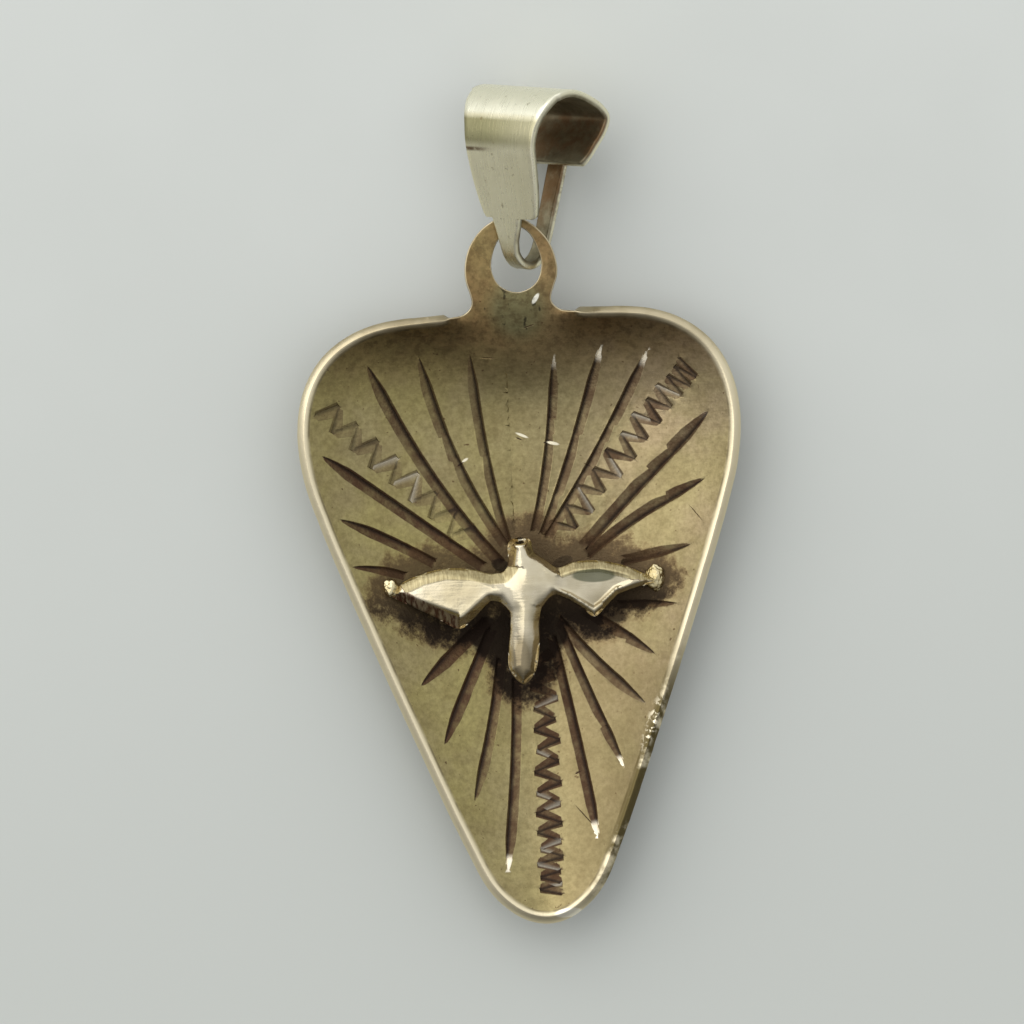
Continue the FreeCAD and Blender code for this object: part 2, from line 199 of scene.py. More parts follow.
# A zigzag band is (outer end, inner end, strokes, half width, narrow and wide stroke, crowding, darkness).
BANDS = [((-8.15, 8.15), (-2.35, 2.35), 15, .44, .36, .56, .0, .38),
         ((7.25, 8.95), (1.45, 2.35), 22, .50, .26, .44, .55, .56),
         ((0.18, -12.75), (0.42, -2.7), 26, .44, .26, .52, .45, .78)]
FLANK = 0.03            # how far inside a cut's edge its tarnish is full
# a ray's long facet is painted less dark than its floor and steep wall: painted light
LONG_FACET = 0.84       # tarnish of a ray's long facet, as a share of its floor's
ZIG_DEPTH = 0.075


class Cut:
    """One graver cut: a line with a width on either side of its deepest place."""

    def __init__(self, start, end, marks, depth, dark, glint=0.0, burr=0.008):
        self.a = Vector(start)
        self.b = Vector(end)
        self.length = (self.b - self.a).length
        self.u = (self.b - self.a) / self.length
        self.n = Vector((self.u.y, -self.u.x))
        self.marks = marks          # (s, low edge, floor, high edge), in mm from the line
        self.depth = depth
        self.dark = dark
        self.glint = glint
        self.burr = burr
        reach = max(max(abs(m[1]), abs(m[3])) for m in marks) + 0.12
        xs = (self.a.x, self.b.x)
        ys = (self.a.y, self.b.y)
        self.box = (min(xs) - reach, max(xs) + reach, min(ys) - reach, max(ys) + reach)

    def at(self, s, v):
        return self.a + self.u * (self.length * s) + self.n * v

    def row(self, s):
        marks = self.marks
        for m, o in zip(marks, marks[1:]):
            if s <= o[0]:
                t = (s - m[0]) / (o[0] - m[0])
                return [lerp(m[k], o[k], t) for k in (1, 2, 3, 4)]
        return list(marks[-1][1:])

    def lines(self):
        """The mesh lines along the cut: its edges, its floor, its tarnish and the foot of its burr."""
        wanted = [(self.marks, k, 0.0) for k in (1, 2, 3)]
        inner = [m for m in self.marks if m[3] - m[1] > 4.5 * FLANK]
        if len(inner) > 1:
            wanted += [(inner, 1, FLANK), (inner, 3, -FLANK)]
        if self.depth > RAY_LEAST:
            wanted += [(self.marks[1:-1], 1, -BURR_WIDTH), (self.marks[1:-1], 3, BURR_WIDTH)]
        return [[self.at(m[0], m[k] + more) for m in marks] for marks, k, more in wanted]

    def sample(self, x, y):
        """Depth, share of the full depth, place along the cut and fill of its tarnish, or None outside."""
        if not (self.box[0] < x < self.box[1] and self.box[2] < y < self.box[3]):
            return None
        dx, dy = x - self.a.x, y - self.a.y
        s = (dx * self.u.x + dy * self.u.y) / self.length
        if s < -0.001 or s > 1.001:
            return None
        s = min(max(s, 0.0), 1.0)
        v = dx * self.n.x + dy * self.n.y
        low, mid, high, size = self.row(s)
        if low < v < high:
            if v < mid:
                share = (v - low) / max(mid - low, 1e-6)
            else:
                share = (high - v) / max(high - mid, 1e-6)
            weight = min(1.0, min(v - low, high - v) / FLANK + 0.12)
            # less darkening on a ray's long facet: painted light
            if self.depth > RAY_LEAST and (v < mid) == (mid - low > high - mid):
                weight *= lerp(LONG_FACET, 1.0, smooth(0.45, 1.0, share))
            return self.depth * size * share, share, s, weight
        gap = low - v if v <= low else v - high
        if gap < BURR_WIDTH and size > 0.3:
            return -self.burr * (1 - gap / BURR_WIDTH), 0.0, s, 0.0
        return None


cuts = []
for start, end, bow, side, half, dark, glint, restarts in RAYS:
    length = math.hypot(end[0] - start[0], end[1] - start[1])
    marks = []
    steps = max(8, int(length / 0.26))
    places = sorted(set([0.0, 0.012, 0.03, 0.055, 0.09] + [k / steps for k in range(1, steps + 1)]
                        + [r + d for r in restarts for d in (-0.012, 0.0, 0.004)]))
    random.seed(int(abs(start[0] * 100) + abs(start[1] * 10)))
    for s in places:
        grow = min(1.0, 0.04 + (s * length / 1.5) ** 0.60)
        shrink = 1 - 0.12 * s
        again = 1.0
        for r in restarts:
            if s >= r:
                again = min(again, 0.72 + 0.28 * min(1.0, (s - r) / 0.10))
        width = half * grow * shrink * again * (1 + random.uniform(-0.02, 0.02))
        middle = 4 * bow * s * (1 - s) + side * half * (1 - again) * 0.8
        marks.append((s, middle - width, middle + side * 0.56 * width, middle + width,
                      max(0.05, grow * again * (1 - 0.15 * s))))
    cuts.append(Cut(start, end, marks, RAY_DEPTH, dark, glint))

for start, end, strokes, half, narrow, wide, crowd, dark in BANDS:
    a, b = Vector(start), Vector(end)
    u = (b - a).normalized()
    n = Vector((-u.y, u.x))
    length = (b - a).length
    random.seed(strokes)
    total = 0.0
    pitch = []
    for k in range(strokes):
        share = 1 - crowd * (1 - smooth(0.0, 0.55, k / strokes))
        pitch.append(share)
        total += share
    corners = []
    gone = 0.0
    for k in range(strokes + 1):
        bend = 0.05 * math.sin(k * 1.7)
        flank = half * (1 if k % 2 else -1) * (1 + random.uniform(-0.14, 0.14))
        corners.append(a + u * (length * gone / total) + n * (flank + bend))
        if k < strokes:
            gone += pitch[k]
    for k in range(strokes):
        p, q = corners[k], corners[k + 1]
        even = k % 2 == 0
        w0, w1 = (narrow, narrow * 1.7) if even else (wide * 0.45, wide)
        along = (q - p).normalized()
        p = p - along * 0.03
        q = q + along * 0.03
        flank = 1 if even else -1
        marks = []
        for s in (0.0, 0.07, 0.30, 0.55, 0.80, 0.94, 1.0):
            w = lerp(w0, w1, s)
            cap = 0.35 if s in (0.0, 1.0) else 1.0
            low, high = -w * cap * 0.5, w * cap * 0.5
            floor = -flank * w * cap * 0.30
            marks.append((s, low * 1.15, floor, high * 1.15, cap * lerp(0.55, 1.0, s)))
        cuts.append(Cut(p, q, marks, ZIG_DEPTH * random.uniform(0.8, 1.15), dark * random.uniform(0.8, 1.1),
                        0.35 if random.random() < 0.3 else 0.0, 0.004))

NICKS = [((-2.75, 5.35), (-2.35, 5.55), .045), ((0.95, 6.1), (1.32, 6.28), .05),
         ((-0.2, 6.45), (0.15, 6.28), .04), ((1.35, -9.1), (2.2, -10.15), .03),
         ((1.45, -7.85), (1.75, -7.72), .06), ((-1.5, 9.85), (-0.75, 9.80), .035),
         ((0.35, 10.95), (1.0, 11.15), .035), ((6.9, 3.2), (7.5, 2.4), .02), ((2.6, 5.2), (2.95, 5.0), .03)]
for start, end, w in NICKS:
    marks = [(s, -w * c, 0.0, w * c, c) for s, c in ((0.0, 0.1), (0.3, 1.0), (0.7, 0.9), (1.0, 0.1))]
    cuts.append(Cut(start, end, marks, 0.03, 0.9, 0.0, 0.006))


def engraved(x, y):
    """(depth, darkness, share, glint) of the engraving at a place."""
    depth, dark, share, glint = 0.0, 0.0, 0.0, 0.0
    rise = 0.0
    for cut in cuts:
        got = cut.sample(x, y)
        if not got:
            continue
        d, part, s, weight = got
        if d > depth:
            depth = d
        if d < rise:
            rise = d
        if weight * cut.dark > dark:
            dark = weight * cut.dark
            glint = cut.glint * (1 - smooth(0.03, 0.11, s)) if cut.depth > RAY_LEAST else cut.glint * part
        share = max(share, part)
    if depth <= 0.0:
        depth = rise
    return depth, dark, share, glint


RIM_BAND = 0.17         # width of the light band on the hollow face, inside the rim
NECK_REACH = 0.20       # how far the back edge stands out beside the neck
RIM_ROUND = 0.075       # how far the rounding of an edge reaches
HOLE_ROUND = 0.055
FACE_SPACING, BACK_SPACING = 0.20, 0.42
MARGIN = 0.26           # room that the filling points keep from an edge


def outline_loop():
    """The plate's outline with tongue and eye: places, and how much the rim leans there."""
    loop = []
    right = [p for p in spline(rim, 0.13, closed=True) if not (p.y > 11.0 and abs(p.x) < 2.62)]
    top = max(range(len(right)),
              key=lambda i: right[i].y * 3 + (right[i].x > 0) * 1.0 - abs(right[i].x - 2.62))
    right = right[top:] + right[:top]
    neck = spline([(-right[0].x, right[0].y), (-1.99, 11.72), (-NECK_HALF, NECK_Y),
                   (EYE_X - EYE_R + 0.03, EYE_Y - 0.2), (EYE_X - EYE_R + 0.06, EYE_Y + 0.45),
                   (EYE_X - 1.62, EYE_Y + 1.25), (EYE_X - 0.95, EYE_Y + 1.98), (EYE_X + 0.1, EYE_TOP),
                   (EYE_X + 0.95, EYE_Y + 1.98), (EYE_X + 1.62, EYE_Y + 1.25),
                   (EYE_X + EYE_R - 0.06, EYE_Y + 0.45), (EYE_X + EYE_R - 0.03, EYE_Y - 0.2),
                   (NECK_HALF, NECK_Y), (1.99, 11.72), (right[0].x, right[0].y)], 0.10)
    for p in right:
        loop.append((p, smooth(2.62, 2.95, abs(p.x)) if p.y > 11.0 else 1.0))
    for p in neck[1:-1]:
        loop.append((p, 0.0))
    return loop


hole_points = spline([(HOLE_X - HOLE_R, HOLE_Y), (HOLE_X - 0.82, HOLE_Y + 0.95),
                      (HOLE_X - 0.38, HOLE_Y + 1.52), (HOLE_X + 0.08, HOLE_TOP),
                      (HOLE_X + 0.55, HOLE_Y + 1.46), (HOLE_X + 0.9, HOLE_Y + 0.8),
                      (HOLE_X + HOLE_R, HOLE_Y), (HOLE_X + 0.74, HOLE_Y - 0.74),
                      (HOLE_X, HOLE_Y - HOLE_R), (HOLE_X - 0.74, HOLE_Y - 0.74)], 0.10, closed=True)


def solve(test, low, high):
    for _ in range(26):
        mid = (low + high) / 2
        if test(mid) > 0:
            high = mid
        else:
            low = mid
    return (low + high) / 2


def rim_reach(face, base, n, lean, low, high):
    """How far out along n the leaning rim meets a face, or 0 where the edge is upright."""
    if not lean:
        return 0.0
    k = RIM_LEAN * lean
    return solve(lambda d: d - (RIM_Z - face(base.x + n.x * d, base.y + n.y * d)) * k, low, high)


def on_face(face, p):
    return Vector((p.x, p.y, face(p.x, p.y)))


def bend(a, b, c, s):
    """A place on the curve that leaves a toward b and ends in c."""
    return a * (1 - s) ** 2 + b * 2 * s * (1 - s) + c * s * s


def edge_rows(loop, outward, inset):
    """For each place of a loop, the points from the hollow face round the edge to the back."""
    rows = []
    count = len(loop)
    for i, (p, lean) in enumerate(loop):
        a, b = loop[i - 1][0], loop[(i + 1) % count][0]
        along = (b - a).normalized()
        n = Vector((-along.y, along.x)) * outward
        dent = 0.0
        if lean == 1.0:
            dent = 0.016 * max(0.0, noise.noise(Vector((p.x * 1.3, p.y * 1.3, 4.0))))
            dent += 0.05 * math.exp(-((p - Vector((5.15, -6.75))).length / 0.35) ** 2)
            nick = 0.03 * max(0.0, noise.noise(Vector((p.x * 4, p.y * 4, 9.0))))
            dent += nick * smooth(0.5, 3.0, p.x) * smooth(0.0, -4.0, p.y)
        base = p - n * dent
        top_d = rim_reach(height, base, n, lean, -1.2, 1.0)
        low_d = rim_reach(lower, base, n, lean, -1.0, 2.6)
        if p.y > 11.0 and abs(p.x) < 4.2:
            low_d = min(low_d, NECK_REACH)
        t = base + n * top_d
        l = base + n * low_d
        top, first = on_face(height, t), on_face(height, t - n * inset)
        bottom, last = on_face(lower, l), on_face(lower, l - n * inset)
        face = (bottom - top).normalized()
        up = top + face * inset * 0.9
        down = bottom - face * inset * 0.9
        rows.append([first, bend(first, top, up, 0.3), bend(first, top, up, 0.6), up, (up + down) / 2,
                     down, bend(down, bottom, last, 0.4), bend(down, bottom, last, 0.7), last])
    return rows


def inner_line(rows, outward, reach):
    """A closed line at an even distance inside the first points of the rows."""
    line = []
    for i, row in enumerate(rows):
        a, b = rows[i - 1][0], rows[(i + 1) % len(rows)][0]
        along = Vector((b.x - a.x, b.y - a.y)).normalized()
        line.append(Vector((row[0].x, row[0].y)) - Vector((-along.y, along.x)) * outward * reach)
    return line + line[:1]


def triangulate(loops, lines, spacing, margin):
    """Points and triangles of the plan inside the first loop and outside the others."""
    verts = []
    edges = []
    faces = []
    for loop in loops:
        first = len(verts)
        verts.extend(Vector((p.x, p.y)) for p in loop)
        count = len(loop)
        edges.extend((first + i, first + (i + 1) % count) for i in range(count))
    border = [Vector((p.x, p.y)) for loop in loops for p in loop]
    cells = {}
    size = 0.5
    for p in border:
        cells.setdefault((int(p.x // size), int(p.y // size)), []).append(p)

    def near(x, y):
        cx, cy = int(x // size), int(y // size)
        for i in (-1, 0, 1):
            for j in (-1, 0, 1):
                for p in cells.get((cx + i, cy + j), ()):
                    if abs(p.x - x) < margin and abs(p.y - y) < margin:
                        return True
        return False

    for line in lines:
        first = len(verts)
        verts.extend(Vector((p.x, p.y)) for p in line)
        edges.extend((first + i, first + i + 1) for i in range(len(line) - 1))
    random.seed(5)
    row = 0
    y = -14.6
    while y < 16.2:
        x = -9.8 + (spacing / 2 if row % 2 else 0.0)
        while x < 9.8:
            if not near(x, y):
                verts.append(Vector((x + random.uniform(-.1, .1) * spacing,
                                     y + random.uniform(-.1, .1) * spacing)))
            x += spacing
        y += spacing * 0.87
        row += 1
    out = delaunay_2d_cdt(verts, edges, faces, 0, 1e-5, True)
    points, tris, origin = out[0], out[2], out[3]
    outer, *holes = (Tester([Vector((p.x, p.y)) for p in loop]) for loop in loops)
    kept = []
    for tri in tris:
        c = (points[tri[0]] + points[tri[1]] + points[tri[2]]) / 3
        if outer.holds(c) and not any(hole.holds(c) for hole in holes):
            kept.append(tri)
    return points, kept, origin


class Tester:
    """Tells whether a place lies inside a closed line."""

    def __init__(self, loop):
        self.rows = {}
        self.size = 0.25
        count = len(loop)
        for i in range(count):
            a, b = loop[i], loop[(i + 1) % count]
            low, high = sorted((a.y, b.y))
            for k in range(int(low // self.size), int(high // self.size) + 1):
                self.rows.setdefault(k, []).append((a, b))

    def holds(self, p):
        odd = False
        for a, b in self.rows.get(int(p.y // self.size), ()):
            if (a.y > p.y) != (b.y > p.y):
                if p.x < a.x + (p.y - a.y) * (b.x - a.x) / (b.y - a.y):
                    odd = not odd
        return odd


def first_places(origin, count):
    """Which new point each of the first `count` points of a triangulation became."""
    return {s: i for i, source in enumerate(origin) for s in source if s < count}


def turn_of(points):
    """1 or -1: the side of a closed line on which its outside lies."""
    return 1 if sum(a.x * b.y - b.x * a.y for a, b in zip(points, points[1:])) < 0 else -1


def edge_faces(columns):
    """The faces between neighbouring columns of points round a closed edge."""
    faces = []
    for k, column in enumerate(columns):
        other = columns[(k + 1) % len(columns)]
        for j in range(len(column) - 1):
            faces.append((column[j], other[j], other[j + 1], column[j + 1]))
    return faces


def sleeve(first, second):
    """The faces between two closed rings of points."""
    n = len(first)
    return [(first[k], first[(k + 1) % n], second[(k + 1) % n], second[k]) for k in range(n)]


def new_object(name, verts, faces, attributes=None, sharp=None):
    """A mesh in metres in the frame of the solids, from mm in the plate's frame."""
    mesh = bpy.data.meshes.new(name)
    mesh.from_pydata([(v + SHIFT) * MM for v in verts], [], faces)
    mesh.validate()
    for key, values in (attributes or {}).items():
        layer = mesh.attributes.new(key, "FLOAT", "POINT")
        layer.data.foreach_set("value", values)
    obj = bpy.data.objects.new(name, mesh)
    bpy.context.scene.collection.objects.link(obj)
    edit = bmesh.new()
    edit.from_mesh(mesh)
    bmesh.ops.recalc_face_normals(edit, faces=edit.faces)
    edit.to_mesh(mesh)
    edit.free()
    mesh.polygons.foreach_set("use_smooth", [True] * len(mesh.polygons))
    if sharp:
        mesh.set_sharp_from_angle(angle=math.radians(sharp))
    return obj


def polygon_distance(outline, x, y):
    """Distance to the nearest side of an outline, and that side's number."""
    best, side = 1e9, 0
    count = len(outline)
    for i in range(count):
        ax, ay = outline[i]
        bx, by = outline[(i + 1) % count]
        dx, dy = bx - ax, by - ay
        t = ((x - ax) * dx + (y - ay) * dy) / (dx * dx + dy * dy)
        t = min(max(t, 0.0), 1.0)
        d = math.hypot(ax + dx * t - x, ay + dy * t - y)
        if d < best:
            best, side = d, i
    return best, side


# The dove
DOVE_Z = 1.12
DOVE_INSET, DOVE_SPACING, DOVE_MARGIN = 0.035, 0.055, 0.05
DOVE = [(-0.69, 2.1), (0.13, 2.14), (0.31, 1.58), (0.75, 1.22), (1.25, 0.86), (1.96, 1.06), (3.13, 1.03),
        (4.33, 0.66), (5.30, 0.05), (4.62, -0.16), (3.76, -0.4), (3.18, -0.91), (2.68, -1.28),
        (2.22, -0.93), (1.57, -0.5), (1.05, -0.28), (0.54, -0.75), (0.38, -1.37), (0.33, -2.12),
        (0.04, -3.49), (-0.45, -3.93), (-1.0, -3.31), (-1.01, -2.46), (-0.92, -1.67), (-0.88, -0.89),
        (-1.25, -0.47), (-1.62, -0.41), (-1.94, -0.68), (-2.6, -1.25), (-3.01, -1.46), (-3.99, -0.93),
        (-4.99, -0.37), (-5.80, 0.15), (-5.4, 0.55), (-4.49, 0.92), (-3.47, 1.1), (-2.32, 1.0),
        (-1.55, 0.79), (-1.09, 0.80), (-0.84, 1.05)]

plate_loop = outline_loop()
plate_turn = turn_of([p for p, _ in plate_loop])
outer_rows = edge_rows(plate_loop, plate_turn, RIM_ROUND)
hole_rows = edge_rows([(p, 0.0) for p in hole_points], -turn_of(hole_points), HOLE_ROUND)


def build_plate():
    lines = []
    for cut in cuts:
        lines.extend(cut.lines())
    # in short steps, because one long side would span the hollow as a thin fin
    lines.append([Vector(BROAD[0]).lerp(Vector(BROAD[1]), k / BROAD_STEPS) for k in range(BROAD_STEPS + 1)])
    lines.append(inner_line(outer_rows, plate_turn, RIM_BAND))
    outer_top = [r[0] for r in outer_rows]
    hole_top = [r[0] for r in hole_rows]
    points, tris, origin = triangulate([outer_top, hole_top], lines, FACE_SPACING, MARGIN)
    verts = []
    keep = {}
    faces = []
    data = {"dark": [], "share": [], "glint": [], "near_dove": [], "edge": []}

    def add(p, dark=0.0, share=0.0, glint=0.0, near_dove=0.0, edge=0.0):
        verts.append(p)
        for key, value in zip(data, (dark, share, glint, near_dove, edge)):
            data[key].append(value)
        return len(verts) - 1

    def top_index(i):
        if i in keep:
            return keep[i]
        p = points[i]
        z = height(p.x, p.y)
        depth, dark, share, glint = engraved(p.x, p.y)
        if BROAD[1][1] < p.y < BROAD[0][1]:
            v = p.x - lerp(BROAD[1][0], BROAD[0][0], (p.y - BROAD[1][1]) / (BROAD[0][1] - BROAD[1][1]))
            if -0.001 < v < BROAD_WIDTH:
                ends = smooth(BROAD[0][1], BROAD[0][1] - 1.6, p.y)
                ends *= smooth(BROAD[1][1], BROAD[1][1] + 0.4, p.y)
                depth += 0.055 * (1 - v / BROAD_WIDTH) ** 1.5 * ends
        # nearness to the dove, which carries its painted shadow
        gap, _ = polygon_distance(DOVE, p.x, p.y)
        z -= max(depth, -0.02)
        keep[i] = add(Vector((p.x, p.y, z)), dark, share, glint, smooth(2.6, 0.2, gap))
        return keep[i]

    count = len(outer_rows) + len(hole_rows)
    boundary = first_places(origin, count)
    for tri in tris:
        faces.append(tuple(top_index(i) for i in tri))

    low_loops = [[r[-1] for r in rows] for rows in (outer_rows, hole_rows)]
    under, under_tris, under_origin = triangulate(low_loops, [], BACK_SPACING, MARGIN)
    under_boundary = first_places(under_origin, count)
    under_keep = {}

    def under_index(i):
        if i not in under_keep:
            p = under[i]
            under_keep[i] = add(on_face(lower, p))
        return under_keep[i]

    for tri in under_tris:
        faces.append(tuple(under_index(i) for i in reversed(tri)))

    rims = [lean for _, lean in plate_loop] + [0.0] * len(hole_rows)
    first = 0
    for rows in (outer_rows, hole_rows):
        columns = []
        for k, row in enumerate(rows):
            column = [top_index(boundary[first + k])]
            data["edge"][column[0]] = rims[first + k]
            column.extend([add(p, edge=1.0) for p in row[1:-1]])
            column.append(under_index(under_boundary[first + k]))
            columns.append(column)
        faces.extend(edge_faces(columns))
        first += len(rows)
    return new_object("plate_engraved", verts, faces, data, sharp=24)


plate_obj = build_plate()


# The dove's upper face: rows of bevels along its outline under a crown of facets.
BEVELS = [(0, 0, 0.30, 2.6), (1, 3, 0.34, 1.5), (4, 7, 0.34, 0.85), (8, 10, 0.34, 1.1), (11, 15, 0.44, 1.2),
          (16, 19, 0.40, 1.05), (20, 24, 0.46, 0.90), (25, 28, 0.40, 1.2), (29, 31, 0.24, 1.00),
          (32, 32, 0.30, 1.1), (33, 38, 0.36, 0.80), (39, 39, 0.34, 1.4)]
SPINE = [(-0.28, 2.3, 0.86), (-0.12, 1.0, 0.90), (-0.02, 0.2, 0.95), (-0.12, -0.6, 0.90),
         (-0.28, -2.0, 0.86), (-0.45, -3.7, 0.66)]


def soft_min(a, b, radius):
    h = max(radius - abs(a - b), 0.0) / radius
    return min(a, b) - h * h * radius * 0.25


def soft_max(a, b, radius):
    return -soft_min(-a, -b, radius)


def spine_height(x, y):
    if y >= SPINE[0][1]:
        cx, crest = SPINE[0][0], SPINE[0][2]
    elif y <= SPINE[-1][1]:
        cx, crest = SPINE[-1][0], SPINE[-1][2]
    else:
        for a, b in zip(SPINE, SPINE[1:]):
            if y >= b[1]:
                t = (a[1] - y) / (a[1] - b[1])
                cx, crest = lerp(a[0], b[0], t), lerp(a[2], b[2], t)
                break
    reach = 0.72 + 0.5 * math.exp(-((y - 0.2) / 0.7) ** 2)
    return crest - 0.50 * (abs(x - cx) / reach) ** 1.9


def dove_height(x, y):
    gap, side = polygon_distance(DOVE, x, y)
    base, slope = 0.24, 1.3
    for low, high, b, s in BEVELS:
        if low <= side <= high:
            base, slope = b, s
            break
    bevel = base + slope * gap
    left = 0.82 + 0.060 * (x + 1.2) - 0.16 * (y - 0.2)
    right = 0.80 - 0.055 * (x - 1.0) + 0.03 * (y - 0.3)
    ridge = (y + 1.05) - 0.02 * (x - 2.55) - 0.50 * abs(x - 2.62)
    pit = smooth(0.18, 0.42, gap) * smooth(0.0, 0.25, ridge) * smooth(0.9, 1.5, x) * smooth(4.6, 3.6, x)
    right -= pit * (0.10 + 0.12 * smooth(1.2, -0.3, y))
    wing = left if x < 0 else right
    wing = lerp(wing, 0.74, smooth(1.3, 0.5, abs(x + 0.1)))
    crown = soft_max(wing, spine_height(x, y), 0.16)
    z = soft_min(crown, bevel, 0.16 if abs(x + 0.2) < 1.3 else 0.06)
    return z + 0.010 * noise.noise(Vector((x * 1.7, y * 1.7, 3.0))), gap, side


def build_dove():
    outline = spline(DOVE, 0.07, closed=True)
    inner = inner_line([[p] for p in outline], turn_of(outline), DOVE_INSET)
    points, tris, origin = triangulate([outline], [inner], DOVE_SPACING, DOVE_MARGIN)
    verts, faces = [], []
    data = {"gap": [], "side": []}
    keep = {}

    def add(p, gap, side):
        verts.append(p)
        data["gap"].append(gap)
        data["side"].append(side)
        return len(verts) - 1

    def top_index(i):
        if i not in keep:
            p = points[i]
            z, gap, side = dove_height(p.x, p.y)
            if gap < 0.02:
                z -= 0.03
            kind = 1.0 if 29 <= side <= 31 else 2.0 if 33 <= side <= 38 or 4 <= side <= 7 else 0.0
            keep[i] = add(Vector((p.x, p.y, DOVE_Z + z)), gap, kind)
        return keep[i]

    boundary = first_places(origin, len(outline))
    for tri in tris:
        faces.append(tuple(top_index(i) for i in tri))
    columns = []
    for k, p in enumerate(outline):
        top = top_index(boundary[k])
        z = verts[top].z
        columns.append([top, add(Vector((p.x, p.y, lerp(z, DOVE_Z, 0.5))), -1.0, 0.0),
                        add(Vector((p.x, p.y, DOVE_Z)), -1.0, 0.0)])
    faces.extend(edge_faces(columns))
    faces.append(tuple(c[2] for c in columns))
    return new_object("dove_polished", verts, faces, data, sharp=50)


dove_obj = build_dove()


# The bail, as (depth, height) along its strip; the tables give (half width or side, height).
BAIL_T = 0.34
BAIL_CORNER = 0.055
BAIL_LOOP = [(1.42, 3.06), (2.06, 3.66), (2.64, 4.20), (2.93, 4.72), (2.60, 5.26), (1.86, 5.84),
             (1.15, 6.22), (0.55, 6.36), (0.05, 6.33), (-0.46, 6.07), (-0.85, 5.66), (-1.10, 5.20),
             (-1.28, 4.55), (-1.27, 3.65), (-1.22, 2.77), (-1.17, 2.0)]
BAIL_HOOK = [(-1.13, 1.30), (-1.09, 0.60), (-1.04, 0.15), (-0.92, -0.38), (-0.62, -0.80),
             (-0.10, -1.03), (0.42, -0.92), (0.80, -0.62), (1.08, -0.22), (1.65, 0.85), (2.25, 1.97),
             (2.82, 3.03), (3.18, 3.72), (3.42, 4.42)]
BAIL_FRONT = [(1.32, 1.15), (1.55, 2.0), (1.68, 2.77), (1.77, 3.65), (1.83, 4.55), (1.93, 5.2),
              (2.08, 5.66), (2.25, 6.07), (2.42, 6.6)]
BAIL_BACK = [(1.96, 2.9), (2.20, 3.4), (2.35, 4.2), (2.42, 4.9), (2.42, 6.6)]
BAIL_ASIDE = 0.44
HOOK_LEFT = [(-0.36, -1.3), (-0.37, 0.1), (-0.45, 0.8), (-0.55, 1.4), (-0.60, 2.3)]
HOOK_RIGHT = [(0.36, -1.3), (0.37, -0.3), (0.48, 0.2), (0.72, 0.8), (0.92, 1.4), (0.98, 2.3)]
HOOK_BACK = [(0.36, -1.3), (0.46, 4.8)]
SOLDER_HALF = 0.41
BAIL_SOLDER = [(2.45, 4.02), (2.64, 4.20), (2.99, 4.66), (3.40, 4.38), (3.18, 3.72), (3.02, 3.40)]
BAIL_TURN = Matrix.Identity(3)
for degrees, axis in ((3.7, "Z"), (14.0, "X"), (-42.2, "Y")):
    BAIL_TURN = BAIL_TURN @ Matrix.Rotation(math.radians(degrees), 3, axis)
BAIL_AT = Vector((0.741, 14.631, 1.961))


def in_bail(w, u, b):
    """Width, height and depth in the bail to the plate's frame."""
    return BAIL_TURN @ Vector((w, u, -b)) + BAIL_AT


def at_height(table, u):
    if u <= table[0][1]:
        return table[0][0]
    for a, b in zip(table, table[1:]):
        if u <= b[1]:
            return lerp(a[0], b[0], (u - a[1]) / (b[1] - a[1]))
    return table[-1][0]


